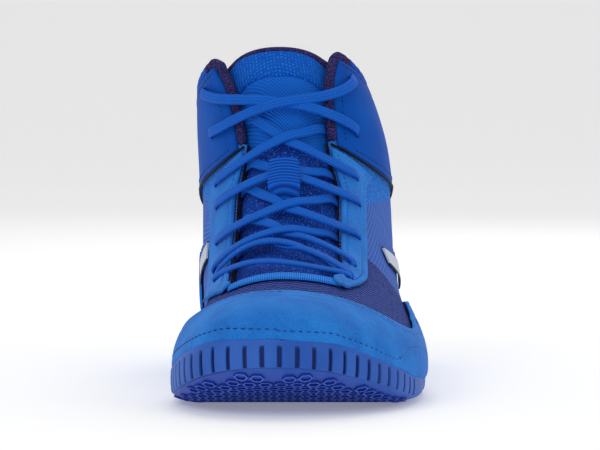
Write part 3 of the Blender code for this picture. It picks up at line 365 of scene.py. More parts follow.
def mesh_object(name, points, faces, finishes, finish_of_face=None, values=None, weave=None):
    """A smooth mesh object. values are named numbers for each point; weave is its cloth map."""
    mesh = bpy.data.meshes.new(name)
    mesh.from_pydata(np.asarray(points).tolist(), [], faces)
    for finish in finishes:
        mesh.materials.append(finish)
    if finish_of_face is not None:
        mesh.polygons.foreach_set("material_index", np.asarray(finish_of_face, np.int32))
    for label, numbers in (values or {}).items():
        layer = mesh.attributes.new(label, "FLOAT", "POINT")
        layer.data.foreach_set("value", np.asarray(numbers, np.float32))
    if weave is not None:
        corner = np.empty(len(mesh.loops), np.int32)
        mesh.loops.foreach_get("vertex_index", corner)
        layer = mesh.uv_layers.new(name="weave")
        layer.data.foreach_set("uv", np.asarray(weave, np.float32)[corner].ravel())
    mesh.shade_smooth()
    made = bpy.data.objects.new(name, mesh)
    scene.collection.objects.link(made)
    return made


def tidy_mesh(made, sharp=40):
    """Merges doubled points, drops loose ones and turns every face outwards."""
    work = bmesh.new()
    work.from_mesh(made.data)
    bmesh.ops.remove_doubles(work, verts=work.verts, dist=2e-6)
    bmesh.ops.dissolve_degenerate(work, edges=work.edges, dist=1e-7)
    bmesh.ops.delete(work, geom=[vert for vert in work.verts if not vert.link_faces], context="VERTS")
    bmesh.ops.recalc_face_normals(work, faces=work.faces)
    work.to_mesh(made.data)
    work.free()
    made.data.shade_smooth()
    made.data.set_sharp_from_angle(angle=math.radians(sharp))
    return made


def place_piece(made, slot, *nodes):
    """Fixes a finished piece to the shoe, in the stead of the named solids."""
    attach(made, "root")
    if nodes:
        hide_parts(*nodes)
    return made


FORM_ROWS = 145
FORM_COLUMNS = 161
form_sections = np.linspace(0.0, 14.4, FORM_ROWS)
form_arounds = np.linspace(-1.0, 1.0, FORM_COLUMNS)
form_grid = last_surface(form_sections[:, None], form_arounds[None, :])
form_faces = [
    (corner, corner + 1, corner + FORM_COLUMNS + 1, corner + FORM_COLUMNS)
    for row in range(FORM_ROWS - 1)
    for corner in range(row * FORM_COLUMNS, (row + 1) * FORM_COLUMNS - 1)
]
last_tree = BVHTree.FromPolygons(form_grid.reshape(-1, 3).tolist(), form_faces)

TOE_CENTRE = (-0.078, 0.190)
HEEL_CENTRE = (-0.010, 0.860)
WALL_REFERENCE = 0.9
GROOVES_EACH_SIDE = 12
GROOVE_HALF_WIDTH = 0.00060
GROOVE_SOFTNESS = 0.00030
GROOVE_DEPTH = 0.0011
WALL_PROFILE = (
    # share of the wall's height, rubber's reach as a share of RUBBER_WALL, groove depth share
    (0.00, -1.10, 0.0),
    (0.04, -0.55, 0.0),
    (0.09, 0.00, 0.0),
    (0.15, 0.40, 0.0),
    (0.18, 0.57, 0.0),
    (0.20, 0.62, 0.0),
    (0.22, 0.70, 0.0),
    (0.245, 0.78, 0.8),
    (0.28, 0.84, 1.0),
    (0.36, 0.90, 1.0),
    (0.50, 0.96, 1.0),
    (0.68, 0.97, 1.0),
    (0.78, 0.95, 1.0),
    (0.86, 0.93, 0.8),
    (0.90, 0.91, 0.0),
    (0.95, 0.84, 0.0),
    (0.98, 0.72, 0.0),
    (1.00, 0.45, 0.0),
)
BEVEL_LEVEL = 0.20
BEVEL_REACH = 2.3
BEVEL_CURVE = 1.3
FOOT_FADE = 0.03
LINE_DEPTH = 0.0005
LINE_HALF_HEIGHT = 0.02
LIP_RISE = 0.0010
LIP_LEVEL = 0.9
# places in front of the middle, and heights of the wall, between which the toe's form comes in
LIP_PLACES = (0.096, 0.116)
TOE_HEIGHTS = (0.011, 0.017)
WALL_PROUD = 0.0005
RIB_STEP = 0.00035
SIDE_STEPS = 95
WAY_REACH = 0.004
END_TURN = 3.0
INNER_LEVELS = (1.0, 0.8, 0.6, 0.45)
INNER_GAP = 0.0002
INNER_MISS = -0.002


def share_between(value, low, high):
    """How far a value has come from low to high, 0 to 1."""
    return np.clip((value - low) / (high - low), 0.0, 1.0)


def softened(share):
    """A share from 0 to 1 that starts and ends gently."""
    return share * share * (3 - 2 * share)


def arc_length(points):
    """Distances along a line of points, from its first one."""
    return np.concatenate([[0], np.cumsum(np.linalg.norm(np.diff(points, axis=0), axis=1))])


def tube_faces(rings, rim):
    """Faces between rings of rim points each, without the two ends."""
    faces = []
    for k in range(rings - 1):
        for c in range(rim):
            n = (c + 1) % rim
            faces.append((k * rim + c, k * rim + n, (k + 1) * rim + n, (k + 1) * rim + c))
    return faces


def wall_hit(origin, way, side, level):
    """Where the last meets a level line that comes in from the side."""
    y = origin[1]
    found = None
    for _ in range(4):
        low = float(underside(y))
        z = low + level * (float(wall_top(y, side)) - low)
        start = Vector((origin[0] + way[0] * 0.2, origin[1] + way[1] * 0.2, z))
        hit = last_tree.ray_cast(start, Vector((-way[0], -way[1], 0.0)))[0]
        if hit is None:
            return found
        found = hit
        y = hit.y
    return found


def wall_line(side):
    """A dense line round one side of the last, toe tip first, as (x, y)."""
    toe = np.array([TOE_CENTRE[0] * BALL_WIDTH, (TOE_CENTRE[1] - 0.5) * SHOE_LENGTH])
    heel = np.array([HEEL_CENTRE[0] * BALL_WIDTH, (HEEL_CENTRE[1] - 0.5) * SHOE_LENGTH])
    rays = [(toe, (side * math.sin(turn), -math.cos(turn))) for turn in np.linspace(0, math.pi / 2, 60)]
    rays += [(toe + (heel - toe) * share, (side, 0.0)) for share in np.linspace(0, 1, 60)[1:-1]]
    rays += [(heel, (side * math.cos(turn), math.sin(turn))) for turn in np.linspace(0, math.pi / 2, 60)]
    hits = [wall_hit(origin, way, side, WALL_REFERENCE) for origin, way in rays]
    return np.array([(hit.x, hit.y) for hit in hits])


def wall_point(spot, side, level):
    """The wall's point over a spot of the floor, at a share of the wall's height."""
    low = float(underside(spot[1])) + LUG_HEIGHT
    return [*spot, low + level * (float(wall_top(spot[1], side)) - low)]


def reach_out(hit, here, way):
    """How far a hit lies out from a place."""
    return float(np.dot(np.array([hit.x, hit.y]) - here, way))


def wall_rings(side):
    """The rubber wall on one side: outer and inner points, the shares of painted shade in the grooves, and
    the shares of foot.
    """
    line = wall_line(side)
    arc = arc_length(line)
    ribs_end = (GROOVES_EACH_SIDE + 0.5) * GROOVE_PITCH
    places = np.concatenate([np.arange(0, ribs_end, RIB_STEP), np.linspace(ribs_end, arc[-1], SIDE_STEPS)])
    outer, inner, groove_shades, unders = [], [], [], []
    for place in places:
        here, before, after = (
            np.array([np.interp(place + step, arc, line[:, k]) for k in (0, 1)])
            for step in (0, -WAY_REACH, WAY_REACH)
        )
        along = after - before
        way = np.array([along[1], -along[0]]) * side
        way /= np.linalg.norm(way)
        way += np.array([0.0, -END_TURN]) * max(0.0, 1 - place / WAY_REACH)
        way += np.array([0.0, END_TURN]) * max(0.0, 1 - (arc[-1] - place) / WAY_REACH)
        if place in (0.0, arc[-1]):
            way[0] = 0.0
        way /= np.linalg.norm(way)
        number = round(place / GROOVE_PITCH)
        distance = abs(place - number * GROOVE_PITCH)
        edge = share_between(distance, GROOVE_HALF_WIDTH, GROOVE_HALF_WIDTH + GROOVE_SOFTNESS)
        cut = softened(1 - edge) * (number <= GROOVES_EACH_SIDE)
        height = float(wall_top(here[1], side)) - float(underside(here[1]))
        toe = share_between(height, *TOE_HEIGHTS) * (here[1] < 0)
        lip = LIP_RISE * share_between(-here[1], *LIP_PLACES)
        ring, depth, under = [], [], []
        for level, proud, share in WALL_PROFILE:
            hit = wall_hit(here, way, side, level)
            out = 0.0 if hit is None else max(0.0, reach_out(hit, here, way))
            bevel = BEVEL_REACH * toe * max(0.0, 1 - level / BEVEL_LEVEL) ** BEVEL_CURVE
            ditch = toe * max(0.0, 1 - abs(level - BEVEL_LEVEL) / LINE_HALF_HEIGHT)
            out += (proud - bevel) * RUBBER_WALL + WALL_PROUD
            out -= cut * share * GROOVE_DEPTH + ditch * LINE_DEPTH
            point = wall_point(here + way * out, side, level)
            point[2] += lip * share_between(level, LIP_LEVEL, 1.0)
            ring.append(point)
            # depth is the share of painted shade: the grooves and the line round the toe are painted dark,
            # partly the rubber's own darker tone and partly shade.
            depth.append(max(cut * share, ditch))
            under.append(toe * share_between(BEVEL_LEVEL - level, 0.0, FOOT_FADE))
        outer.append(ring)
        groove_shades.append(depth)
        unders.append(under)
        ring = []
        for level in INNER_LEVELS:
            hit = wall_hit(here, way, side, level)
            out = INNER_MISS if hit is None else reach_out(hit, here, way) + INNER_GAP
            ring.append(wall_point(here + way * out, side, level))
        inner.append(ring)
    return np.array(outer), np.array(inner), np.array(groove_shades), np.array(unders)


UNDERSIDE_STEPS = 22
FLOOR_LIFT = 0.0022
medial_outer, medial_inner, medial_groove_shades, medial_unders = wall_rings(-1)
lateral_outer, lateral_inner, lateral_groove_shades, lateral_unders = wall_rings(1)
columns = min(len(medial_outer), len(lateral_outer))
for pair in ((medial_outer, lateral_outer), (medial_inner, lateral_inner)):
    pair[1][0] = pair[0][0]
    pair[1][-1] = pair[0][-1]
shares = np.linspace(0, 1, UNDERSIDE_STEPS + 1)[1:-1, None]
sole_points, sole_groove_shades, sole_unders = [], [], []
for k in range(columns):
    here = k if k < columns - 1 else -1
    under = medial_outer[here][0] * (1 - shares) + lateral_outer[here][0] * shares
    under[:, 2] = underside(under[:, 1]) + LUG_HEIGHT
    inside = lateral_inner[here][-1] * (1 - shares) + medial_inner[here][-1] * shares
    inside[:, 2] = underside(inside[:, 1]) + LUG_HEIGHT + FLOOR_LIFT
    loop = np.vstack([
        lateral_outer[here], lateral_inner[here], inside,
        medial_inner[here][::-1], medial_outer[here][::-1], under,
    ])
    plain = len(loop) - len(under) - medial_groove_shades.shape[1] - lateral_groove_shades.shape[1]
    sole_points.append(loop)
    sole_groove_shades.append(np.concatenate([
        lateral_groove_shades[here], np.zeros(plain), medial_groove_shades[here][::-1], np.zeros(len(under)),
    ]))
    sole_unders.append(np.concatenate([
        lateral_unders[here], np.zeros(plain), medial_unders[here][::-1], np.ones(len(under)),
    ]))
sole_faces = tube_faces(columns, len(sole_points[0]))


def point_value(tree, name):
    """The value that each point of the mesh holds under a name."""
    return add_node(tree, "ShaderNodeAttribute", [("attribute_name", name)]).outputs["Fac"]


rubber, tree, shader = finish_named("moulded_rubber", (46, 96, 186), 0.52)
body = blend_colours(tree, ramp(tree, noise(tree, 60, 3), 0.3, 0.7), (30, 84, 176), (44, 98, 190))
body = blend_colours(tree, point_value(tree, "beneath"), body, (46, 76, 172))
# Painted shade: points in the grooves and in the line round the toe are painted near-black navy, partly the
# rubber's own darker tone and partly shade.
groove_shade_share = calc(tree, "MULTIPLY", point_value(tree, "groove_shade"), 0.94)
set_colour(tree, shader, blend_colours(tree, groove_shade_share, body, (10, 22, 92)))
shader.inputs["Specular IOR Level"].default_value = 0.25
set_relief(tree, shader, noise(tree, 2600, 2), 0.0001, 0.35)
outsole = mesh_object(
    "rubber_outsole", np.vstack(sole_points), sole_faces, [rubber],
    values={"groove_shade": np.concatenate(sole_groove_shades), "beneath": np.concatenate(sole_unders)},
)
tidy_mesh(outsole, 50)

place_piece(outsole, "rubber", "outsole")


def geometry_tree(name, **sizes):
    """A geometry tree with named inputs for its sizes and its finish, and what they give."""
    tree = bpy.data.node_groups.new(name, "GeometryNodeTree")
    ends = tree.interface
    ends.new_socket(name="Geometry", in_out="INPUT", socket_type="NodeSocketGeometry")
    ends.new_socket(name="Geometry", in_out="OUTPUT", socket_type="NodeSocketGeometry")
    for label, size in sizes.items():
        ends.new_socket(name=label, in_out="INPUT", socket_type="NodeSocketFloat").default_value = size
    ends.new_socket(name="Finish", in_out="INPUT", socket_type="NodeSocketMaterial")
    return tree, tree.nodes.new("NodeGroupInput").outputs


def finish_tree(tree, given, instances, smooth=False):
    """Ends a tree: its copies made real, shaded, and given the finish."""
    shape = add_node(tree, "GeometryNodeRealizeInstances", Geometry=instances).outputs["Geometry"]
    if smooth:
        shape = add_node(tree, "GeometryNodeSetShadeSmooth", Geometry=shape).outputs["Geometry"]
    painted = add_node(tree, "GeometryNodeSetMaterial", Geometry=shape, Material=given["Finish"])
    add_node(tree, "NodeGroupOutput", Geometry=painted.outputs["Geometry"])


def stood_on_surface(tree, ahead):
    """A turn that sets X along a socket's direction and Z along the carrier's own normal."""
    up = add_node(tree, "GeometryNodeInputNamedAttribute", [("data_type", "FLOAT_VECTOR")], Name="up")
    upright = add_node(
        tree, "FunctionNodeAlignRotationToVector", [("axis", "Z")], Vector=up.outputs["Attribute"],
    )
    turned = add_node(
        tree, "FunctionNodeAlignRotationToVector", [("axis", "X"), ("pivot_axis", "Z")],
        Rotation=upright.outputs["Rotation"], Vector=ahead,
    )
    return turned.outputs["Rotation"]


def carrier_of(name, points, edges, ups):
    """A helper mesh of points and edges that knows each point's way up."""
    mesh = bpy.data.meshes.new(name)
    mesh.from_pydata(np.array(points).tolist(), edges, [])
    mesh.attributes.new("up", "FLOAT_VECTOR", "POINT").data.foreach_set("vector", np.array(ups).ravel())
    made = bpy.data.objects.new(name, mesh)
    scene.collection.objects.link(made)
    return made


def grown(name, carrier, tree, values):
    """Runs a geometry tree on a carrier and keeps the result as a plain mesh."""
    modifier = carrier.modifiers.new("grow", "NODES")
    modifier.node_group = tree
    for item in tree.interface.items_tree:
        if item.name in values:
            modifier[item.identifier] = values[item.name]
    graph = bpy.context.evaluated_depsgraph_get()
    mesh = bpy.data.meshes.new_from_object(carrier.evaluated_get(graph))
    carrier.modifiers.remove(modifier)
    bpy.data.objects.remove(carrier)
    mesh.name = name
    made = bpy.data.objects.new(name, mesh)
    scene.collection.objects.link(made)
    return made


# Tread rings. Moulded six-sided rings in close rows under the forefoot and the heel, one
# with the outsole's rubber; two round pads among them carry the standing shoe.
RING_PITCH = 0.0064
RING_SIZE = 0.0026
RING_BAR = 0.0011
PAD_SIZE = 0.012
PAD_PLACES = (0.300, 0.850)
PAD_GAP = 0.0006
RING_MARGIN = 0.0034
RING_CLIMB = 0.0040
RING_STEEPEST = -0.6
RING_FOOT = 0.7
RING_RISE = 1.7
ARCH_SHARES = (0.47, 0.73)
TREAD_MIDDLE = -0.001
STEPS_EACH_WAY = 10


def underside_middle(y):
    """The middle between the underside's medial and lateral edge at a place along the shoe."""
    edges = medial_outer[:, 0], lateral_outer[:, 0]
    return sum(np.interp(y, edge[:, 1], edge[:, 0]) for edge in edges) / 2


pads = []
for along in PAD_PLACES:
    pad_y = (along - 0.5) * SHOE_LENGTH
    pads.append((underside_middle(pad_y), pad_y))
sole_mesh = outsole.data
sole_tree = BVHTree.FromPolygons(
    [vert.co for vert in sole_mesh.vertices], [face.vertices[:] for face in sole_mesh.polygons],
)


def ring_stand(x, y):
    """Where a ring stands under the sole and its way up, or None where it finds no room."""
    if any(math.hypot(x - px, y - py) < PAD_SIZE + RING_SIZE + PAD_GAP for px, py in pads):
        return None
    spots = [(x, y)]
    for turn in np.arange(8) * math.pi / 4:
        spots.append((x + RING_MARGIN * math.cos(turn), y + RING_MARGIN * math.sin(turn)))
    hits = [sole_tree.ray_cast(Vector((*spot, -0.01)), Vector((0, 0, 1))) for spot in spots]
    for place, up, _, _ in hits:
        if place is None or up.z > RING_STEEPEST or place.z - float(underside(place.y)) > RING_CLIMB:
            return None
    up = sum((hit[1] for hit in hits), Vector()).normalized()
    if hits[0][0].z - RING_SIZE * math.hypot(up.x, up.y) < LUG_HEIGHT * 0.9:
        return None
    return tuple(hits[0][0]), tuple(up)


stands = []
row_pitch = RING_PITCH * math.sqrt(3) / 2
for number in range(int(SHOE_LENGTH / row_pitch)):
    y = (number + 0.5) * row_pitch - SHOE_LENGTH / 2
    if ARCH_SHARES[0] < y / SHOE_LENGTH + 0.5 < ARCH_SHARES[1]:
        continue
    for step in range(-STEPS_EACH_WAY, STEPS_EACH_WAY + 1):
        stand = ring_stand(TREAD_MIDDLE + (step + (number % 2) / 2) * RING_PITCH, y)
        if stand:
            stands.append(stand)
ring_carrier = carrier_of("ring_places", [place for place, up in stands], [], [up for place, up in stands])

ring_tree, given = geometry_tree("tread_rings", Size=RING_SIZE, Bar=RING_BAR, Height=LUG_HEIGHT)
circle = add_node(ring_tree, "GeometryNodeCurvePrimitiveCircle", Resolution=6, Radius=given["Size"])
bar = add_node(
    ring_tree, "GeometryNodeCurvePrimitiveQuadrilateral", [("mode", "TRAPEZOID")], Offset=0.0,
    Height=given["Height"], Top_Width=given["Bar"],
    Bottom_Width=calc(ring_tree, "MULTIPLY", given["Bar"], RING_FOOT),
)
swept = add_node(
    ring_tree, "GeometryNodeCurveToMesh", Curve=circle.outputs["Curve"], Profile_Curve=bar.outputs["Curve"],
)
along_x = add_node(ring_tree, "ShaderNodeCombineXYZ", X=1.0)
spread = add_node(
    ring_tree, "GeometryNodeInstanceOnPoints", Points=given["Geometry"], Instance=swept.outputs["Mesh"],
    Rotation=stood_on_surface(ring_tree, along_x.outputs["Vector"]),
)
finish_tree(ring_tree, given, spread.outputs["Instances"])

tread, tree, shader = finish_named("tread_rubber", (70, 84, 184), 0.55)
# Painted shade on the walls of the rings and pads: faces that do not point down are painted dark (26, 50,
# 146), and only the downward tops show the rubber's colour.
own_normal = tree.nodes.new("ShaderNodeNewGeometry").outputs["True Normal"]
facing_down = add_node(tree, "ShaderNodeSeparateXYZ", Vector=own_normal)
unshaded_tops = ramp(tree, calc(tree, "MULTIPLY", facing_down.outputs["Z"], -1.0), 0.60, 0.72)
crown = blend_colours(tree, ramp(tree, noise(tree, 90, 3), 0.3, 0.7), (58, 98, 198), (74, 114, 210))
set_colour(tree, shader, blend_colours(tree, unshaded_tops, (26, 50, 146), crown))
set_relief(tree, shader, noise(tree, 2200, 2), 0.0001, 0.3)
rings = grown(
    "tread_rings", ring_carrier, ring_tree,
    {"Size": RING_SIZE, "Bar": RING_BAR, "Height": LUG_HEIGHT * RING_RISE, "Finish": tread},
)
tidy_mesh(rings, 30)
place_piece(rings, "rubber")

PAD_PROFILE = (
    # reach as a share of PAD_SIZE, height as a share of LUG_HEIGHT
    (1.00, 0.60),
    (1.00, 0.12),
    (0.96, 0.00),
    (0.50, 0.00),
    (0.46, 0.35),
    (0.40, 0.35),
    (0.36, 0.00),
)
PAD_RIM = 48

pad_points, pad_faces = [], []
for px, py in pads:
    base = len(pad_points)
    for reach, height in PAD_PROFILE:
        for turn in np.arange(PAD_RIM) * 2 * math.pi / PAD_RIM:
            x, y = px + PAD_SIZE * reach * math.cos(turn), py + PAD_SIZE * reach * math.sin(turn)
            pad_points.append((x, y, max(0.0, float(underside(y))) + LUG_HEIGHT * height))
    stop = len(pad_points) - base
    rims = tube_faces(len(PAD_PROFILE), PAD_RIM)
    rims += [tuple(range(PAD_RIM)), tuple(range(stop - PAD_RIM, stop))]
    pad_faces += [tuple(base + corner for corner in face) for face in rims]
tread_pads = mesh_object("tread_pads", pad_points, pad_faces, [tread])
tidy_mesh(tread_pads, 30)
place_piece(tread_pads, "rubber")
# Insole. A thin foam slab under dark cloth, about 3 mm thick, laid on the turned-in edge of
# the upper inside the shoe.
UPPER_WALL = 0.002
INSOLE_THICKNESS = 0.0030
SKIN_GAP = 0.0012


def grid_between(side, sections, inner, outer, shares):
    """Places on one side between two edges that are given as functions: section, way round."""
    sections = np.asarray(sections, float)
    shares = np.linspace(0, 1, shares + 1) if isinstance(shares, int) else np.asarray(shares)
    start = np.broadcast_to(inner(sections), sections.shape)[:, None]
    stop = np.broadcast_to(outer(sections), sections.shape)[:, None]
    around = side * (start + (stop - start) * shares)
    return np.repeat(sections[:, None], len(shares), axis=1), around


def crowded(count, ends=(0.006, 0.02, 0.045)):
    """Even shares from 0 to 1 with more of them close to both ends."""
    ends = np.array(ends)
    middle = np.linspace(ends[-1], 1 - ends[-1], count)[1:-1]
    return np.concatenate([[0.0], ends, middle, 1 - ends[::-1], [1.0]])


def rounded(distance, radius):
    """How far a rolled edge drops at a distance from the border."""
    inside = np.clip(radius - distance, 0, radius)
    return radius - np.sqrt(np.maximum(radius ** 2 - inside ** 2, 0))


arc_sections = np.linspace(0, 17.4, 350)
arc_arounds = np.linspace(-1, 1, 241)
arc_grid = last_surface(arc_sections[:, None], arc_arounds[None, :])
arc_u = np.zeros(arc_grid.shape[:2])
steps = np.linalg.norm(np.diff(arc_grid, axis=1), axis=2)
arc_u[:, 121:] = np.cumsum(steps[:, 120:], axis=1)
arc_u[:, :120] = -np.cumsum(steps[:, 119::-1], axis=1)[:, ::-1]
arc_rise = np.cumsum(np.linalg.norm(np.diff(arc_grid, axis=0), axis=2), axis=0)
arc_v = np.concatenate([np.zeros((1, 241)), arc_rise])


def cloth_map(section, around):
    """Distances over the last, in metres, across from the ridge and up from the toe."""
    row = np.clip(np.asarray(section) / arc_sections[1], 0, len(arc_sections) - 1.001)
    column = np.clip((np.asarray(around) + 1) * 120, 0, 239.999)
    i, j = row.astype(int), column.astype(int)
    p, q = row - i, column - j

    def read(table):
        near = (1 - q) * table[i, j] + q * table[i, j + 1]
        far = (1 - q) * table[i + 1, j] + q * table[i + 1, j + 1]
        return (1 - p) * near + p * far
    return np.stack([read(arc_u), read(arc_v)], axis=-1)


def open_edges(faces):
    """Borders that only one face has, in that face's direction."""
    edges = {(face[k - 1], face[k]) for face in faces for k in range(len(face))}
    return [(start, stop) for start, stop in edges if (stop, start) not in edges]


def sewn_piece(name, grids, outside, inside, finishes, finish_rule=None, radius=0.0, mould=None, seams=()):
    """A closed piece between two forms of the last.

    grids are (section, around) arrays that share their common borders. outside and inside
    are lengths or functions of the place. radius rolls the outer edge. mould adds creases.
    seams are distances from the border at which a stitched trough runs.
    """
    keys, faces, start = [], [], 0
    for section, around in grids:
        section, around = section.copy(), around.copy()
        around[np.abs(around) > 0.9999] = 1.0
        around[section < 1e-6] = 0.0
        keys.append(np.stack([section, around], axis=-1).reshape(-1, 2))
        rows, columns = section.shape
        ids = start + np.arange(rows * columns).reshape(rows, columns)
        quads = np.stack([ids[:-1, :-1], ids[:-1, 1:], ids[1:, 1:], ids[1:, :-1]], axis=-1).reshape(-1, 4)
        faces.append(quads if around.sum() > 0 else quads[:, ::-1])
        start += rows * columns
    keys = np.vstack(keys)
    _, first, index = np.unique(np.round(keys, 5) + 0.0, axis=0, return_index=True, return_inverse=True)
    index = index.reshape(-1)
    section, around = keys[first].T
    clean = []
    for face in index[np.vstack(faces)].tolist():
        corners = list(dict.fromkeys(face))
        if len(corners) > 2:
            clean.append(tuple(corners))
    rim = open_edges(clean)
    count = len(section)
    top = (outside(section, around) if callable(outside) else np.full(count, outside)).astype(float)
    low = (inside(section, around) if callable(inside) else np.full(count, inside)).astype(float)
    base = last_surface(section, around)
    if radius or seams:
        border = KDTree(len(rim) * 2)
        for number, (first, second) in enumerate(rim):
            border.insert(base[first], 2 * number)
            border.insert((base[first] + base[second]) / 2, 2 * number + 1)
        border.balance()
        distance = np.array([border.find(point)[2] for point in base])
        top = np.maximum(top - rounded(distance, radius), low + 0.0001) if radius else top
        for seam in seams:
            top = top - SEAM_DEPTH * np.exp(-((distance - seam) / SEAM_WIDTH) ** 2)
    if mould is not None:
        top = top + mould(section, around)
        low = low + np.minimum(mould(section, around), 0)
    closed = clean + [tuple(corner + count for corner in reversed(face)) for face in clean]
    closed += [(stop, start, start + count, stop + count) for start, stop in rim]
    chosen = None
    if finish_rule is not None:
        middle = np.array([(section[list(face)].mean(), np.abs(around[list(face)]).mean() * np.sign(
            around[list(face)].sum() + 1e-9)) for face in clean])
        outer, inner = finish_rule(middle[:, 0], middle[:, 1])
        chosen = np.concatenate([outer, inner, np.full(len(rim), inner[0])])
    weave = cloth_map(section, around)
    way = last_normal(section, around)
    return mesh_object(
        name, np.vstack([base + way * top[:, None], base + way * low[:, None]]),
        closed, finishes, chosen, weave=np.vstack([weave, weave]),
    )


SEAM_DEPTH = 0.00030
SEAM_WIDTH = 0.00060
insole_cloth, tree, shader = finish_named("insole_cloth", (26, 26, 54), 0.95)
dress(tree, shader, noise(tree, 700, 3), (14, 14, 34), (44, 44, 84), noise(tree, 1400, 2), 0.0002, 0.6)
insole_grids = [
    grid_between(
        side, np.linspace(2.0, 11.5, 90),
        lambda s: np.interp(s, (2.0, 3.0, 9.0, 11.5), (0.80, 0.72, 0.72, 0.80)), lambda s: 1.0, 24,
    )
    for side in (-1, 1)
]
insole_top = -UPPER_WALL - SKIN_GAP - INSOLE_THICKNESS
insole = sewn_piece("cloth_insole", insole_grids, -UPPER_WALL - SKIN_GAP, insole_top, [insole_cloth])
tidy_mesh(insole)
place_piece(insole, "insole_cloth", "insole")


# Upper. One hollow shell of cloth about 2 mm thick with its lining: a chunky dark woven
# vamp over the toes, finer ribbed mesh on the sides, heathered mesh under the ankle
# panels, and a near-black lining. It is open at the throat and the collar.
THROAT_FOOT = 6.0
THROAT_TABLE = (
    # section, medial and lateral half width from the ridge as shares of BALL_WIDTH
    (0.0, 0.220, 0.230),
    (6.0, 0.220, 0.230),
    (7.0, 0.215, 0.226),
    (8.0, 0.210, 0.223),
    (9.0, 0.206, 0.225),
    (10.0, 0.198, 0.228),
    (11.0, 0.170, 0.198),
    (12.0, 0.155, 0.182),
    (13.0, 0.167, 0.174),
    (14.0, 0.180, 0.170),
    (15.0, 0.203, 0.180),
    (16.0, 0.238, 0.200),
    (17.0, 0.262, 0.215),
)
COLLAR_TABLE = (
    # way round, collar section, piping section
    (0.00, 16.10, 11.80),
    (0.20, 16.10, 11.80),
    (0.28, 15.95, 12.10),
    (0.35, 15.80, 12.50),
    (0.50, 15.70, 13.45),
    (0.75, 15.85, 14.00),
    (1.00, 16.15, 14.30),
)
COLLAR_ROW = 16.0
BAND_LEVEL = 0.078
VAMP_END = 8.25
BINDING_COVER = 0.0042


def eased_at(table, column, at, ease=0.16):
    """A table's value with its corners rounded off."""
    at = np.asarray(at, float)
    return np.mean([table_at(table, column, at + ease * step) for step in np.linspace(-1, 1, 9)], axis=0)


def throat_share(side, section):
    """The throat's half width on one side, as a share of BALL_WIDTH."""
    return eased_at(THROAT_TABLE, 1 if side < 0 else 2, section)


def throat_edge(section, side):
    """The way round of the throat's edge."""
    return around_at_reach(section, side, throat_share(side, section))


def shell_edge(section, side):
    """The shell's own edge beside the throat, drawn back under the binding at the ankle."""
    drawn = np.clip((np.asarray(section, float) - 11.9) / 0.3, 0, 1) * BINDING_COVER / BALL_WIDTH
    share = throat_share(side, section) + drawn
    return around_at_reach(section, side, share)


def collar_section(around):
    """The section at which the shell ends at the collar, by the way round."""
    return eased_at(COLLAR_TABLE, 1, np.abs(around), 0.05)


def piping_section(around):
    """The section along which the piping runs, by the way round."""
    return eased_at(COLLAR_TABLE, 2, np.abs(around), 0.05)


def raised_to_collar(section, around):
    """Moves the rows under the collar so that the last one follows the collar's edge."""
    share = np.clip((section - 13.0) / (COLLAR_ROW - 13.0), 0.0, 1.0)
    return section + share * (collar_section(around) - COLLAR_ROW)


def lasting_edge(section):
    """Where the upper ends under the foot."""
    return np.interp(section, (1.6, 2.3, 4.0, 9.0, 11.4, 12.4), (1.0, 0.84, 0.78, 0.78, 0.84, 1.0))


def cloth_place(tree, turned=0.0):
    """Distances over a piece's cloth map, turned by an angle: across and along."""
    place = add_node(tree, "ShaderNodeUVMap", [("uv_map", "weave")])
    turn = add_node(tree, "ShaderNodeVectorRotate", Vector=place.outputs["UV"], Angle=turned)
    split = add_node(tree, "ShaderNodeSeparateXYZ", Vector=turn.outputs["Vector"])
    return split.outputs["X"], split.outputs["Y"]


def raised(tree, value):
    """A value from -1 to 1 brought to 0 to 1."""
    return calc(tree, "ADD", calc(tree, "MULTIPLY", value, 0.5), 0.5)


def wave_along(tree, distance, pitch, kind="SINE"):
    """A wave along a distance, 0 to 1, a pitch apart in metres."""
    return raised(tree, calc(tree, kind, calc(tree, "MULTIPLY", distance, 2 * math.pi / pitch)))


def woven(tree, across, along, turned=0.0):
    """A basket weave on the cloth map: 1 on the threads, 0 in the gaps. Pitches in metres."""
    x, y = cloth_place(tree, turned)
    first = calc(tree, "COSINE", calc(tree, "MULTIPLY", x, math.pi / across))
    second = calc(tree, "COSINE", calc(tree, "MULTIPLY", y, math.pi / along))
    return raised(tree, calc(tree, "MULTIPLY", first, second))


def ribbed(tree, pitch, turned=0.0):
    """Straight ribs on the cloth map, 0 to 1, a pitch apart in metres."""
    return wave_along(tree, cloth_place(tree, turned)[1], pitch)


CHEVRON_HALF = 0.0016
CHEVRON_PITCH = 0.0030
vamp_cloth, tree, shader = finish_named("vamp_weave", (45, 50, 130), 0.85)
across, along = cloth_place(tree)
zigzag = calc(tree, "ADD", along, calc(tree, "PINGPONG", across, CHEVRON_HALF))
worn = ramp(tree, noise(tree, 700, 2), 0.15, 0.45)
threads = calc(tree, "MULTIPLY", wave_along(tree, zigzag, CHEVRON_PITCH), worn)
dress(tree, shader, ramp(tree, threads, 0.35, 0.6), (8, 20, 84), (74, 100, 196), threads, 0.0009, 1.0)

side_cloth, tree, shader = finish_named("side_mesh", (78, 108, 204), 0.8)
ribs = calc(tree, "MULTIPLY", ribbed(tree, 0.0011, 0.9), woven(tree, 0.0009, 0.0013, 0.9))
dress(tree, shader, ramp(tree, ribs, 0.1, 0.7), (40, 84, 178), (100, 144, 222), ribs, 0.0003, 0.7)

band_cloth, tree, shader = finish_named("heathered_mesh", (30, 85, 190), 0.85)
specks = ramp(tree, noise(tree, 1500, 1), 0.52, 0.68)
knitted = woven(tree, 0.0008, 0.0007, 0.6)
lit = calc(tree, "MULTIPLY", specks, knitted)
dress(tree, shader, lit, (18, 108, 208), (116, 180, 244), knitted, 0.0003, 0.7)

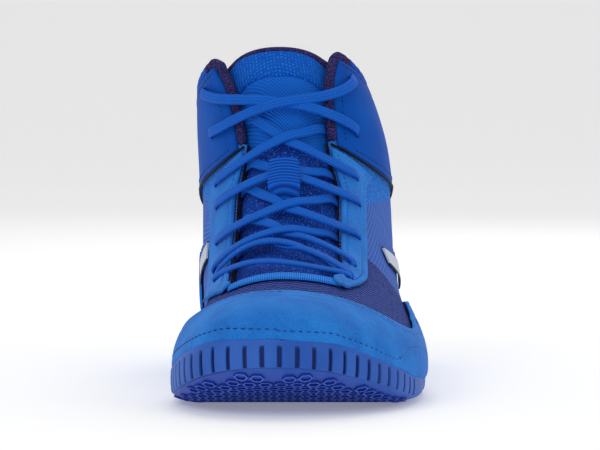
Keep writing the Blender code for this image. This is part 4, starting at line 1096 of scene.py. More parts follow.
lining, tree, shader = finish_named("lining_knit", (24, 20, 34), 0.95)
knitted = woven(tree, 0.0007, 0.0007, 0.8)
dress(tree, shader, knitted, (8, 8, 18), (48, 38, 56), knitted, 0.0003, 0.7)


def upper_finish(section, around):
    """Which cloth each face shows: vamp 0, side 1, band 2, lining 3."""
    height = last_surface(section, around)[:, 2]
    outer = np.where(section < VAMP_END, 0, np.where(height < BAND_LEVEL, 1, 2))
    return outer, np.full(len(section), 3)


UPPER_CREASES = (
    # section, way round, half width in sections, depth
    (7.2, 0.30, 0.16, 0.0006),
    (8.4, 0.34, 0.18, 0.0007),
    (10.7, 0.40, 0.20, 0.0008),
    (11.3, 0.46, 0.16, 0.0006),
)


def upper_creases(section, around):
    """Soft troughs where the vamp and the ankle bend."""
    depth = np.zeros_like(section)
    for middle, turn, width, deep in UPPER_CREASES:
        line = middle + (np.abs(around) - turn) * 1.2
        near = np.exp(-((np.abs(around) - turn) / 0.10) ** 2)
        depth -= deep * np.exp(-((section - line) / width) ** 2) * near
    return depth


upper_rows = np.concatenate([np.linspace(0, 2, 25), np.linspace(2, THROAT_FOOT, 33)[1:]])
quarter_rows = np.linspace(THROAT_FOOT, COLLAR_ROW, 91)[1:]
upper_grids = []
for side in (-1, 1):
    def edge(section, side=side):
        return shell_edge(section, side)
    upper_grids.append(grid_between(side, upper_rows, np.zeros_like, edge, 12))
    section, around = grid_between(
        side, np.concatenate([upper_rows, quarter_rows]), edge, lasting_edge, 66,
    )
    upper_grids.append((raised_to_collar(section, around), around))
upper = sewn_piece(
    "cloth_upper", upper_grids, 0.0, -UPPER_WALL, [vamp_cloth, side_cloth, band_cloth, lining],
    upper_finish, mould=upper_creases,
)
tidy_mesh(upper, 50)
place_piece(upper, "vamp_mesh", "upper")


# Tongue. A padded knit tongue with a rounded top under a bound edge. A seam runs across
# below the top; under it the knit is finer, and lower down a darker mesh shows.
TONGUE_THICKNESS = 0.0040
TONGUE_CROWN = 0.0016
TONGUE_START = 5.3
TONGUE_TOP = 16.5
TONGUE_SPARE = 0.070
TONGUE_SEAM = 15.05
TONGUE_MESH = 11.6
BOUND_DEPTH = 0.26


def tongue_outside(section, around):
    """The tongue's outer face lies under the upper and swells up in the throat."""
    edge = np.where(around < 0, throat_edge(section, -1), throat_edge(section, 1))
    swell = np.clip(1 - (around / edge) ** 2, 0, 1) * np.clip(section - 6.3, 0, 1)
    return TONGUE_CROWN * swell - UPPER_WALL - SKIN_GAP


def tongue_outward(section, around):
    """How far out a place lies, 0 at the ridge and 1 at the throat's edge."""
    edge = np.where(around < 0, throat_edge(section, -1), throat_edge(section, 1))
    return np.clip(np.abs(around) / edge, 0, 1.6)


def tongue_folds(section, around):
    """The seam's trough, the soft pull beside it and shallow waves where the foot bends."""
    outward = tongue_outward(section, around)
    line = TONGUE_SEAM - 0.45 * outward ** 2
    ditch = -0.0009 * np.exp(-((section - line) / 0.045) ** 2)
    pillow = 0.0006 * np.exp(-((section - line - 0.35) / 0.22) ** 2)
    bends = np.clip(12.5 - section, 0, 1) * (outward < 1.0)
    waves = 0.0004 * np.sin((section - 6.5) * 4.1 + outward) * bends
    border = TONGUE_TOP - BOUND_DEPTH - 0.95 * np.minimum(outward, 1.4) ** 2 * 0.45
    rim = -0.0006 * np.exp(-((section - border) / 0.03) ** 2)
    return ditch + pillow + waves + rim


tongue_cloth, tree, shader = finish_named("tongue_knit", (6, 86, 196), 0.82)
loops = woven(tree, 0.0013, 0.0011, 0.78)
dots = calc(tree, "MULTIPLY", ramp(tree, loops, 0.55, 0.9), ramp(tree, noise(tree, 900, 1), 0.35, 0.6))
dress(tree, shader, dots, (0, 84, 190), (30, 134, 236), loops, 0.0005, 0.8)
fine_cloth, tree, shader = finish_named("tongue_twill", (10, 80, 190), 0.8)
twill = ribbed(tree, 0.0012, 0.8)
blocks = calc(tree, "MULTIPLY", twill, woven(tree, 0.0008, 0.0008))
dress(tree, shader, blocks, (0, 88, 198), (30, 134, 240), twill, 0.0004, 0.7)
dark_cloth, tree, shader = finish_named("tongue_mesh", (20, 60, 150), 0.8)
sparks = ramp(tree, noise(tree, 1300, 1), 0.55, 0.66)
knitted = woven(tree, 0.0010, 0.0010, 0.78)
lit = calc(tree, "MULTIPLY", sparks, knitted)
dress(tree, shader, lit, (6, 62, 168), (84, 150, 240), knitted, 0.0005, 0.8)
plum_knit, tree, shader = finish_named("plum_knit", (48, 24, 66), 0.9)
specks = ramp(tree, noise(tree, 1500, 1), 0.50, 0.60)
strands = ramp(tree, noise(tree, 2600, 1), 0.45, 0.60)
dark_knit = blend_colours(tree, specks, (16, 12, 38), (78, 54, 116))
set_colour(tree, shader, blend_colours(tree, calc(tree, "MULTIPLY", strands, 0.5), dark_knit, (58, 70, 150)))
set_relief(tree, shader, noise(tree, 1500, 2), 0.0006, 0.8)


def tongue_finish(section, around):
    """Knit 0, fine twill 1, dark mesh 2, bound edge 3, lining 4."""
    outward = np.minimum(tongue_outward(section, around), 1.4)
    line = TONGUE_SEAM - 0.45 * outward ** 2
    bound = section > TONGUE_TOP - BOUND_DEPTH - 0.43 * outward ** 2
    outer = np.where(bound, 3, np.where(section > line, 0, np.where(section > TONGUE_MESH, 1, 2)))
    return outer, np.where(bound, 3, 4)


tongue_rows = np.concatenate([np.linspace(TONGUE_START, 14.0, 90)[:-1], np.linspace(14.0, TONGUE_TOP, 70)])
tongue_rows[-6:-1] = TONGUE_TOP - np.array([0.09, 0.055, 0.03, 0.014, 0.005])
tongue_grids = []
for side, drop in ((-1, 1.2), (1, 0.7)):
    def edge(section, side=side):
        share = throat_share(side, section) + TONGUE_SPARE
        return around_at_reach(section, side, share)
    section, around = grid_between(side, tongue_rows, np.zeros_like, edge, crowded(34))
    share = np.clip((section - 13.0) / (TONGUE_TOP - 13.0), 0.0, 1.0)
    outward = around / edge(section[:, 0])[:, None]
    tongue_grids.append((section - share * drop * outward ** 2, around))
tongue = sewn_piece(
    "padded_tongue", tongue_grids, tongue_outside, -UPPER_WALL - SKIN_GAP - TONGUE_THICKNESS,
    [tongue_cloth, fine_cloth, dark_cloth, plum_knit, lining], tongue_finish,
    radius=0.0019, mould=tongue_folds,
)
tidy_mesh(tongue, 60)
place_piece(tongue, "tongue_knit", "tongue")


# Toe cap and rand. One piece of suede about 1.2 mm thick over the toes and back along
# both sides above the rubber, sewn to the vamp with one row near each edge.
SUEDE_GAP = 0.0013
SUEDE_THICKNESS = 0.0012
SUEDE_TABLE = (
    # section, medial rand, lateral rand, counter, as shares of INSTEP_HEIGHT
    (4.2, 0.715, 0.710, 0.40),
    (4.6, 0.605, 0.560, 0.40),
    (5.0, 0.535, 0.485, 0.40),
    (5.5, 0.485, 0.445, 0.40),
    (6.0, 0.460, 0.445, 0.40),
    (6.5, 0.455, 0.480, 0.40),
    (7.0, 0.450, 0.520, 0.40),
    (8.0, 0.440, 0.560, 0.40),
    (9.0, 0.420, 0.530, 0.40),
    (10.3, 0.400, 0.480, 0.44),
    (11.0, 0.400, 0.480, 0.56),
    (12.0, 0.400, 0.480, 0.74),
    (13.0, 0.400, 0.480, 0.86),
    (13.9, 0.400, 0.480, 0.90),
)
RAND_END = 10.2
RUBBER_CLEARANCE = 0.0001
CAP_SEAM = 4.2
CAP_SEAM_INSET = 0.0044
RAND_START = 5.5


def toe_tip_section():
    """The section whose top just clears the rubber bumper."""
    low, high = 0.0, 1.5
    for _ in range(HALVINGS):
        middle = (low + high) / 2
        point = last_surface(np.array([middle]), np.zeros(1))[0]
        if point[2] > wall_top(point[1], -1) + RUBBER_CLEARANCE:
            high = middle
        else:
            low = middle
    return high


def rand_edge(section, side):
    """The way round of the suede's upper edge beside the vamp."""
    height = eased_at(SUEDE_TABLE, 1 if side < 0 else 2, section) * INSTEP_HEIGHT
    return np.where(section <= CAP_SEAM, 0.0, around_at_height(section, side, height))


def rubber_edge(section, side):
    """The way round of the suede's lower edge, just above the rubber."""
    return around_at_rubber(section, side, RUBBER_CLEARANCE)


suede, tree, shader = finish_named("suede", (30, 118, 214), 0.93)
shader.inputs["Sheen Weight"].default_value = 0.06
shader.inputs["Sheen Roughness"].default_value = 0.5
cloudy = ramp(tree, noise(tree, 70, 4), 0.3, 0.7)
nap = noise(tree, 2400, 3)
body = blend_colours(tree, cloudy, (8, 100, 194), (26, 124, 216))
rubbed = calc(tree, "MULTIPLY", ramp(tree, nap, 0.42, 0.68), 0.35)
set_colour(tree, shader, blend_colours(tree, rubbed, body, (80, 160, 236)))
surface = calc(tree, "ADD", calc(tree, "MULTIPLY", nap, 0.35), noise(tree, 260, 3))
set_relief(tree, shader, surface, 0.0006, 0.5)


def cap_creases(section, around):
    """A faint crease over the toe box and two short ones where the rand bends."""
    turn = np.abs(around)
    depth = -0.00035 * np.exp(-((section - 3.45 - 0.5 * turn) / 0.10) ** 2) * np.exp(-(turn / 0.28) ** 2)
    for middle, width, deep in ((6.7, 0.14, 0.0004), (8.1, 0.16, 0.0004)):
        depth -= deep * np.exp(-((section - middle - (turn - 0.4) * 1.5) / width) ** 2)
    return depth


tip = toe_tip_section()
cap_rows = np.unique(np.concatenate([
    tip + (CAP_SEAM - tip) * crowded(34)[:-4], np.linspace(CAP_SEAM - 0.12, RAND_START, 52), [CAP_SEAM],
]))
rand_levels = np.concatenate([np.linspace(0, 0.95, 80), [0.975, 0.99, 0.997, 1.0]])
rand_rows = RAND_START + (RAND_END - RAND_START) * rand_levels
rand_shares = crowded(20)
cap_grids = []
for side in (-1, 1):
    def upper_line(section, side=side):
        return rand_edge(section, side)
    def lower_line(section, side=side):
        return rubber_edge(section, side)
    edge_sections = np.linspace(CAP_SEAM, RAND_START, 60)
    edge_around = upper_line(edge_sections)
    full = lower_line(np.array([CAP_SEAM]))
    def between(section, edge_around=edge_around, full=full, lower_line=lower_line):
        return edge_around[-1] * np.where(section < CAP_SEAM, lower_line(section) / full, 1.0)
    cap_grids.append(grid_between(side, cap_rows, between, lower_line, rand_shares))
    section, around = grid_between(side, cap_rows, np.zeros_like, between, 40)
    cap_grids.append((np.minimum(section, np.interp(np.abs(around), edge_around, edge_sections)), around))
    cap_grids.append(grid_between(side, rand_rows, upper_line, lower_line, rand_shares))
toe_cap = sewn_piece(
    "suede_toe_cap", cap_grids, SUEDE_GAP + SUEDE_THICKNESS, SUEDE_GAP, [suede],
    radius=0.0009, mould=cap_creases, seams=(CAP_SEAM_INSET,),
)
tidy_mesh(toe_cap, 60)
place_piece(toe_cap, "suede", "toe_cap")


# Heel counter. Suede wrapped round the heel above the rubber, with the rand's finish. Its
# upper edge rises to the back and is sewn down with one row.
COUNTER_START = 10.3
COUNTER_TOP = 13.9
COUNTER_TURN = 12.0
COUNTER_SEAM_INSET = 0.0030
counter_levels = np.concatenate([[0, 0.003, 0.01, 0.025], np.linspace(0.05, 1, 34)])
counter_side_rows = COUNTER_START + (COUNTER_TURN - COUNTER_START) * counter_levels
counter_back_rows = np.unique(np.concatenate([
    np.linspace(COUNTER_TURN, COUNTER_TOP, 60), np.linspace(12.2, 12.7, 20),
]))


def counter_edge(section, side):
    """The way round of the counter's upper edge."""
    return around_at_height(section, side, eased_at(SUEDE_TABLE, 3, section) * INSTEP_HEIGHT)
counter_grids = []
for side in (-1, 1):
    def upper_line(section):
        return counter_edge(section, side)
    def lower_line(section):
        return rubber_edge(section, side)
    edge_sections = np.linspace(COUNTER_TURN, COUNTER_TOP, 60)
    edge_around = upper_line(edge_sections)
    counter_grids.append(grid_between(side, counter_side_rows, upper_line, lower_line, crowded(34)))
    section, around = grid_between(side, counter_back_rows, lambda s: edge_around[0], lower_line, crowded(34))
    counter_grids.append((np.minimum(section, np.interp(np.abs(around), edge_around, edge_sections)), around))
heel_counter = sewn_piece(
    "suede_heel_counter", counter_grids, SUEDE_GAP + SUEDE_THICKNESS, SUEDE_GAP, [suede],
    radius=0.0009, seams=(COUNTER_SEAM_INSET,),
)
tidy_mesh(heel_counter, 60)
place_piece(heel_counter, "suede", "heel_counter")


# Vamp edge. A narrow bright ribbed strip, folded over the foot of the throat and held under
# the feet of both facings.
OVERLAY_GAP = 0.0008
CUFF_THICKNESS = 0.0010
EDGE_SHARE = 0.004
trim, tree, shader = finish_named("vamp_trim", (0, 118, 226), 0.7)
cord_ribs = ribbed(tree, 0.0009, math.pi / 2)
dress(tree, shader, cord_ribs, (0, 92, 204), (40, 146, 244), cord_ribs, 0.0003, 0.6)
edge_grids = []
for side in (-1, 1):
    def edge(section, side=side):
        return around_at_reach(section, side, throat_share(side, section) - EDGE_SHARE)
    strip_rows = 5.62 + 0.37 * crowded(8, (0.04, 0.12, 0.25))
    edge_grids.append(grid_between(side, strip_rows, np.zeros_like, edge, 60))
vamp_edge = sewn_piece(
    "vamp_trim", edge_grids, OVERLAY_GAP + CUFF_THICKNESS, OVERLAY_GAP, [trim], radius=0.0008,
)
tidy_mesh(vamp_edge, 60)
place_piece(vamp_edge, "trim", "vamp_edge")


# Eyestays. A suede facing beside each throat edge with punched slots for the lace and a
# rounded foot, sewn on with a row inside its outline.
FACING_TABLE = (
    # section, medial and lateral reach from the ridge as shares of BALL_WIDTH
    (5.50, 0.245, 0.240),
    (5.62, 0.280, 0.280),
    (5.80, 0.300, 0.305),
    (6.20, 0.312, 0.325),
    (7.00, 0.320, 0.330),
    (8.00, 0.318, 0.330),
    (9.50, 0.305, 0.328),
    (10.60, 0.306, 0.330),
    (11.00, 0.308, 0.338),
    (11.30, 0.312, 0.350),
    (11.60, 0.317, 0.362),
)
EYELET_TABLE = (
    # medial section, medial reach, lateral section, lateral reach
    (15.3, 0.318, 15.4, 0.290),
    (13.6, 0.295, 13.0, 0.300),
    (11.4, 0.275, 10.9, 0.294),
    (10.45, 0.272, 9.85, 0.300),
    (9.35, 0.268, 8.60, 0.296),
    (8.35, 0.275, 7.10, 0.275),
    (7.50, 0.266, 6.30, 0.262),
)
EYELET_LENGTH = 0.0050
EYELET_WIDTH = 0.0022
FACING_SEAM_INSET = 0.0026
SLOT_DEPTH = 0.0046
SLOT_CORNERS = 20
SIDE_NAMES = {-1: "medial", 1: "lateral"}


def slot_cutter(name, side, eyelets):
    """Rounded slots through what lies over the last, one for each eyelet."""
    first = 0 if side < 0 else 2
    points, faces = [], []
    for row in eyelets:
        section = np.array([row[first]])
        around = side * around_at_reach(section, side, row[first + 1])
        middle = last_surface(section, around)[0]
        up = last_normal(section, around)[0]
        aside = last_surface(section, around + side * 0.01)[0] - middle
        aside = aside / np.linalg.norm(aside)
        along = np.cross(up, aside)
        base = len(points)
        for level in (-SLOT_DEPTH, SLOT_DEPTH):
            for corner in range(SLOT_CORNERS):
                turn = (corner + 0.5) * 2 * math.pi / SLOT_CORNERS
                lean = np.sign(math.cos(turn)) * abs(math.cos(turn)) ** 0.7 * EYELET_WIDTH / 2
                long = math.sin(turn) * EYELET_LENGTH / 2
                points.append(middle + up * level + aside * lean + along * long)
        block = tube_faces(2, SLOT_CORNERS)
        block += [tuple(range(SLOT_CORNERS)), tuple(range(2 * SLOT_CORNERS - 1, SLOT_CORNERS - 1, -1))]
        faces += [tuple(base + corner for corner in face) for face in block]
    cutter = mesh_object(name, points, faces, [])
    tidy_mesh(cutter)
    return cutter


def cut_with(made, cutters):
    """Subtracts helpers from a piece and keeps the result as its mesh."""
    for cutter in cutters:
        modifier = made.modifiers.new("cut", "BOOLEAN")
        modifier.operation = "DIFFERENCE"
        modifier.solver = "EXACT"
        modifier.object = cutter
    graph = bpy.context.evaluated_depsgraph_get()
    mesh = bpy.data.meshes.new_from_object(made.evaluated_get(graph))
    made.modifiers.clear()
    made.data = mesh
    made.data.name = made.name


piping_front = COLLAR_TABLE[0][2]
slot_helpers = {}
for side in (-1, 1):
    high_rows = [row for row in EYELET_TABLE if row[0] > piping_front]
    low_rows = [row for row in EYELET_TABLE if row[0] < piping_front]
    slot_helpers[side, "high"] = slot_cutter("high_slots", side, high_rows)
    slot_helpers[side, "low"] = slot_cutter("low_slots", side, low_rows)
cut_with(upper, list(slot_helpers.values()))
FACING_TOP = 11.6
facing_levels = crowded(120, (0.001, 0.003, 0.007, 0.014))
facing_shares = crowded(26, (0.02, 0.05, 0.10))
# how the foot's outline rises from its lowest point towards the throat and outwards
inward = np.clip(1 - facing_shares / 0.55, 0, 1)
outward = np.clip((facing_shares - 0.50) / 0.50, 0, 1)
FOOT_RISES = {-1: (5.72, 0.55, 2.10), 1: (5.50, 0.75, 0.95)}


def facing_reaches(section, side):
    """The facing's inner and outer reach; below the throat its foot bends inwards."""
    bend = (0.055 if side < 0 else 0.070) * softened(np.clip((6.9 - section) / 1.3, 0, 1))
    inner = throat_share(side, section) + EDGE_SHARE - bend * np.clip((6.35 - section) / 0.35, 0, 1)
    outer = eased_at(FACING_TABLE, 1 if side < 0 else 2, np.maximum(section, 6.45))
    return inner, np.minimum(outer, 0.378) - 0.75 * bend


def reach_of(section, around):
    """How far a place lies from the ridge, as a share of BALL_WIDTH."""
    row = spline_rows(LAST_ROWS, section)
    half = np.where(around < 0, row[..., 6], row[..., 7])
    return half * np.abs(np.sin(np.abs(around) * math.pi)) ** (2 / row[..., 9]) / BALL_WIDTH


def facing_under(section, around):
    """The facing lies on the shell, and its foot on the trim at the foot of the throat."""
    edge = np.where(around < 0, throat_share(-1, section), throat_share(1, section)) - EDGE_SHARE
    over = np.clip((edge + 0.030 - reach_of(section, around)) / 0.030, 0, 1)
    over = over * np.clip((6.6 - section) / 0.5, 0, 1)
    return OVERLAY_GAP + (CUFF_THICKNESS + 0.0001) * softened(over)


def facing_over(section, around):
    """The facing's outer face."""
    return facing_under(section, around) + SUEDE_THICKNESS


for side in (-1, 1):
    lowest, inner_rise, outer_rise = FOOT_RISES[side]
    foot = lowest + inner_rise * inward ** 1.6 + outer_rise * (1 - np.sqrt(1 - outward ** 2 * 0.97))
    section = foot + (FACING_TOP - foot) * facing_levels[:, None]
    inner, outer = (around_at_reach(section, side, reach) for reach in facing_reaches(section, side))
    around = side * (inner + (outer - inner) * facing_shares)
    eyestay = sewn_piece(
        "suede_eyestay_" + SIDE_NAMES[side], [(section, around)], facing_over, facing_under, [suede],
        radius=0.0008, seams=(FACING_SEAM_INSET,),
    )
    tidy_mesh(eyestay, 60)
    cut_with(eyestay, [slot_helpers[side, "low"]])
    place_piece(eyestay, "suede", "eyestay_" + SIDE_NAMES[side])

# Ankle panels. Smooth synthetic skin, one panel on each side from the piping up to the
# collar, joined at the back, with two slots near the front edge.
BINDING_WIDTH = 0.0042
FIT_GAP = 0.0003
PIPING_WIDTH = 0.0011
BACK_SEAM = 0.996
CUFF_TUCK = 0.0003
CUFF_UNDER = 0.0003
CUFF_SEAM_INSET = 0.0024


def section_step(section, around, distance):
    """How far the section number moves for a distance along the upper."""
    step = 0.05
    along = last_surface(section + step, around) - last_surface(section - step, around)
    return distance * 2 * step / np.linalg.norm(along, axis=-1)


cuff_skin, tree, shader = finish_named("cuff_skin", (0, 78, 176), 0.58)
shader.inputs["Specular IOR Level"].default_value = 0.06
own_place = tree.nodes.new("ShaderNodeTexCoord").outputs["Object"]
grain = add_node(tree, "ShaderNodeTexVoronoi", Vector=own_place, Scale=1500).outputs["Distance"]
soft = ramp(tree, noise(tree, 40, 3), 0.3, 0.7)
set_colour(tree, shader, blend_colours(tree, soft, (0, 72, 168), (0, 86, 184)))
surface = calc(tree, "ADD", calc(tree, "MULTIPLY", grain, 0.25), noise(tree, 130, 3))
set_relief(tree, shader, surface, 0.0006, 0.3)


def cuff_waves(section, around):
    """Slow dents where the ankle flexes."""
    turn = np.abs(around)
    wave = np.sin(section * 2.6 + turn * 9.0) * np.exp(-((turn - 0.55) / 0.25) ** 2)
    return -0.0003 * (0.5 + 0.5 * wave)


for side in (-1, 1):
    def inner(section):
        share = throat_share(side, section) + (BINDING_WIDTH - CUFF_TUCK) / BALL_WIDTH
        return around_at_reach(section, side, share)
    start, stop = COLLAR_TABLE[0][2], COLLAR_TABLE[0][1]
    rows = start + (stop - start) * crowded(56)
    nominal, around = grid_between(side, rows, inner, lambda s: BACK_SEAM, crowded(90))
    low = piping_section(around)
    low = low + section_step(low, around, PIPING_WIDTH / 2 + 2 * FIT_GAP)
    high = collar_section(around)
    high = high - section_step(high, around, FIT_GAP)
    section = low + (high - low) * (nominal - start) / (stop - start)
    cuff = sewn_piece(
        "skin_cuff_" + SIDE_NAMES[side], [(section, around)],
        OVERLAY_GAP + CUFF_THICKNESS, OVERLAY_GAP - CUFF_UNDER, [cuff_skin],
        radius=0.0007, seams=(CUFF_SEAM_INSET,), mould=cuff_waves,
    )
    tidy_mesh(cuff, 60)
    cut_with(cuff, [slot_helpers[side, "high"]])
    place_piece(cuff, "cuff_skin", "cuff_" + SIDE_NAMES[side])
for cutter in slot_helpers.values():
    bpy.data.objects.remove(cutter)


# Piping. A dark twisted cord 1.1 mm thick, sewn in under each ankle panel, from the
# throat round to the back seam.
def swept_piece(name, middle, up, width, height, finish, power=0.75, rim=16, ahead_flat=None):
    """A tube swept along 3-D points with an oval section. width and height may vary."""
    middle = np.asarray(middle, float)
    ahead = np.gradient(middle, axis=0)
    ahead /= np.linalg.norm(ahead, axis=1, keepdims=True)
    flat = ahead if ahead_flat is None else ahead_flat
    aside = np.cross(flat, up)
    aside /= np.linalg.norm(aside, axis=1, keepdims=True)
    over = np.cross(aside, ahead)
    over /= np.linalg.norm(over, axis=1, keepdims=True)
    width = np.broadcast_to(width, len(middle))
    height = np.broadcast_to(height, len(middle))
    angles = (np.arange(rim) + 0.5) * 2 * math.pi / rim
    cosine = np.sign(np.cos(angles)) * np.abs(np.cos(angles)) ** power
    sine = np.sign(np.sin(angles)) * np.abs(np.sin(angles)) ** power
    rings = middle[:, None] + (cosine * width[:, None] / 2)[..., None] * aside[:, None]
    rings = rings + (sine * height[:, None] / 2)[..., None] * over[:, None]
    arc = np.broadcast_to(arc_length(middle)[:, None], (len(middle), rim))
    weave = np.stack([cosine * width[:, None] / 2, arc], axis=-1)
    faces = tube_faces(len(middle), rim)
    faces.append(tuple(range(rim)))
    faces.append(tuple(len(rings) * rim - 1 - c for c in range(rim)))
    made = mesh_object(name, rings.reshape(-1, 3), faces, [finish], weave=weave.reshape(-1, 2))
    return tidy_mesh(made, 60)


def rounded_ends(count, length_share=0.02, least=0.25):
    """Width shares that close the ends of a sweep softly."""
    t = np.linspace(0, 1, count)
    reach = np.clip(np.minimum(t, 1 - t) / length_share, 0, 1)
    return least + (1 - least) * np.sqrt(1 - (1 - reach) ** 2)


cord, tree, shader = finish_named("piping_cord", (16, 16, 36), 0.6)
twist = ribbed(tree, 0.0011, 0.7)
dress(tree, shader, twist, (2, 3, 10), (12, 14, 30), twist, 0.0003, 0.7)
for side in (-1, 1):
    share = table_at(THROAT_TABLE, 1 if side < 0 else 2, piping_front) + EDGE_SHARE
    first = float(around_at_reach(np.array([piping_front]), side, share)[0])
    around = side * np.linspace(first, BACK_SEAM, 160)
    section = piping_section(around)
    section = section - section_step(section, around, FIT_GAP)
    middle = last_form(section, around, OVERLAY_GAP + PIPING_WIDTH / 2)
    piping = swept_piece(
        "cord_piping_" + SIDE_NAMES[side], middle, last_normal(section, around),
        PIPING_WIDTH, PIPING_WIDTH, cord, power=1.0, rim=12,
    )
    place_piece(piping, "piping", "piping_" + SIDE_NAMES[side])


# Bindings. Padded knit rolled over the collar's edge from peak to peak round the back,
# and down both front edges of the ankle.
BINDING_PROUD = 0.0014
BINDING_ROLL = 0.0047
CORNER_REACH = 0.0050
BINDING_STEPS = 420
BINDING_FULL = 0.17
front_sections = np.linspace(12.05, COLLAR_TABLE[0][1] - 0.22, 60)
runs, peaks = [], []
for side in (-1, 1):
    share = throat_share(side, front_sections) + (BINDING_WIDTH / 2 + FIT_GAP) / BALL_WIDTH
    runs.append((front_sections, side * around_at_reach(front_sections, side, share)))
    share = table_at(THROAT_TABLE, 1 if side < 0 else 2, COLLAR_ROW) + CORNER_REACH / BALL_WIDTH
    peaks.append(float(around_at_reach(np.array([COLLAR_ROW]), side, share)[0]))
around = np.concatenate([-np.linspace(peaks[0], 1.0, 120), np.linspace(1.0, peaks[1], 120)[1:]])
section = collar_section(around)
section = section + section_step(section, around, BINDING_WIDTH / 2 + 2 * FIT_GAP)
section = np.concatenate([runs[0][0], section, runs[1][0][::-1]])
turn = np.concatenate([runs[0][1], around, runs[1][1][::-1]])
turn = np.where(turn < 0, turn + 2, turn)
arc = arc_length(last_form(section, turn, (BINDING_PROUD - UPPER_WALL) / 2))
at = np.linspace(0, arc[-1], BINDING_STEPS)
section, turn = np.interp(at, arc, section), np.interp(at, arc, turn)
for _ in range(6):
    section[1:-1] = (section[:-2] + section[1:-1] * 2 + section[2:]) / 4
    turn[1:-1] = (turn[:-2] + turn[1:-1] * 2 + turn[2:]) / 4
middle = last_form(section, turn, (BINDING_PROUD - UPPER_WALL) / 2)
steps = np.arange(BINDING_STEPS)
puckers = 1 + 0.05 * np.sin(steps * 0.9) * np.sin(steps * 0.21)
ends = rounded_ends(BINDING_STEPS, 0.012)
binding = swept_piece(
    "padded_binding", middle, last_normal(section, turn), BINDING_ROLL * puckers * np.maximum(ends, 0.4),
    (UPPER_WALL + BINDING_PROUD) * puckers * ends, plum_knit, power=0.8, rim=20,
)
binding.data.materials.append(cuff_skin)
for face in binding.data.polygons:
    nearest = int(np.argmin(np.linalg.norm(middle - np.array(face.center), axis=1)))
    out = np.array(face.normal) @ last_normal(section[nearest], turn[nearest])
    if out > 0.25 and BINDING_FULL * BINDING_STEPS < nearest < (1 - BINDING_FULL) * BINDING_STEPS:
        face.material_index = 1
place_piece(binding, "binding", "collar_binding", "front_binding_medial", "front_binding_lateral")


# Side bands. One plain hatched tape 9 mm wide on each side, with dark edges, laid on the
# upper from the facing, slanting down and back.
BAND_WIDTH = 0.0090
BAND_THICKNESS = 0.0008
BAND_TABLE = (
    # medial section, medial height, lateral section, lateral height
    (9.90, 0.86, 9.10, 0.84),
    (10.10, 0.81, 9.40, 0.80),
    (10.30, 0.76, 9.75, 0.75),
    (10.50, 0.71, 10.10, 0.70),
    (10.70, 0.66, 10.40, 0.64),
)
tape, tree, shader = finish_named("hatched_tape", (214, 222, 234), 0.42)
HATCH_PITCH = 0.00075
across, along = cloth_place(tree)
hatch = wave_along(tree, calc(tree, "ADD", along, across), HATCH_PITCH)
edge_share = ramp(tree, calc(tree, "ABSOLUTE", across), BAND_WIDTH * 0.41, BAND_WIDTH * 0.43)
face = blend_colours(tree, hatch, (166, 178, 206), (236, 242, 250))
set_colour(tree, shader, blend_colours(tree, edge_share, face, (14, 16, 40)))
set_relief(tree, shader, hatch, 0.0002, 0.6)
for side in (-1, 1):
    table = np.array(BAND_TABLE)
    first = 0 if side < 0 else 2
    steps = np.linspace(0, len(table) - 1, 60)
    section = np.interp(steps, np.arange(len(table)), table[:, first])
    height = np.interp(steps, np.arange(len(table)), table[:, first + 1]) * INSTEP_HEIGHT
    around = side * around_at_height(section, side, height)
    middle = last_form(section, around, OVERLAY_GAP + BAND_THICKNESS / 2)
    side_band = swept_piece(
        "tape_band_" + SIDE_NAMES[side], middle, last_normal(section, around),
        BAND_WIDTH, BAND_THICKNESS, tape, power=0.35, rim=24,
    )
    place_piece(side_band, "band", "side_band_" + SIDE_NAMES[side])


# Lace keeper. A loop of ribbed webbing, sewn to the tongue at both ends; the lace runs
# through it.
KEEPER_START = 9.20
KEEPER_STOP = 10.60
KEEPER_WIDTH = 0.0118
KEEPER_SHARES = (1.02, 0.80)
KEEPER_THICKNESS = 0.0010
KEEPER_RIB = 0.00185
LACE_LIFT = 0.0036
LACE_THICKNESS = 0.0016


def keeper_inside(section, around):
    """The keeper lies on the tongue at both ends and bridges the lace between."""
    share = np.clip((section - KEEPER_START) / (KEEPER_STOP - KEEPER_START), 0, 1)
    hump = np.clip(2.2 * np.sin(math.pi * share), 0, 1)
    hump = softened(hump) * 0.35 + hump * 0.65
    top = LACE_LIFT + LACE_THICKNESS / 2 + 3 * FIT_GAP
    low = tongue_outside(section, around) + FIT_GAP
    return low + (top - low) * hump


def keeper_outside(section, around):
    """The keeper's outer face, with a rib across at each pitch."""
    rib = 0.5 + 0.5 * np.sin(cloth_map(section, around)[..., 1] * 2 * math.pi / KEEPER_RIB)
    return keeper_inside(section, around) + KEEPER_THICKNESS * (0.50 + 0.50 * rib)


webbing, tree, shader = finish_named("ribbed_webbing", (10, 96, 206), 0.75)
# Painted shade: the colour runs from dark in the trough between each pair of cross ribs to light on each
# crest, in step with the ribs that keeper_outside raises.
painted_rib_shading = ribbed(tree, KEEPER_RIB)
threads = ribbed(tree, 0.0006, math.pi / 2)
dress(tree, shader, painted_rib_shading, (0, 58, 150), (14, 104, 218), threads, 0.0001, 0.5)
keeper_grids = []
keeper_rows = np.linspace(KEEPER_START, KEEPER_STOP, 150)
for side in (-1, 1):
    def edge(section, side=side):
        share = np.interp(section, (KEEPER_START, KEEPER_STOP), KEEPER_SHARES)
        return around_at_reach(section, side, share * KEEPER_WIDTH / 2 / BALL_WIDTH)
    keeper_grids.append(grid_between(side, keeper_rows, np.zeros_like, edge, 16))
keeper = sewn_piece("webbing_keeper", keeper_grids, keeper_outside, keeper_inside, [webbing])
tidy_mesh(keeper, 60)
place_piece(keeper, "webbing", "lace_keeper")


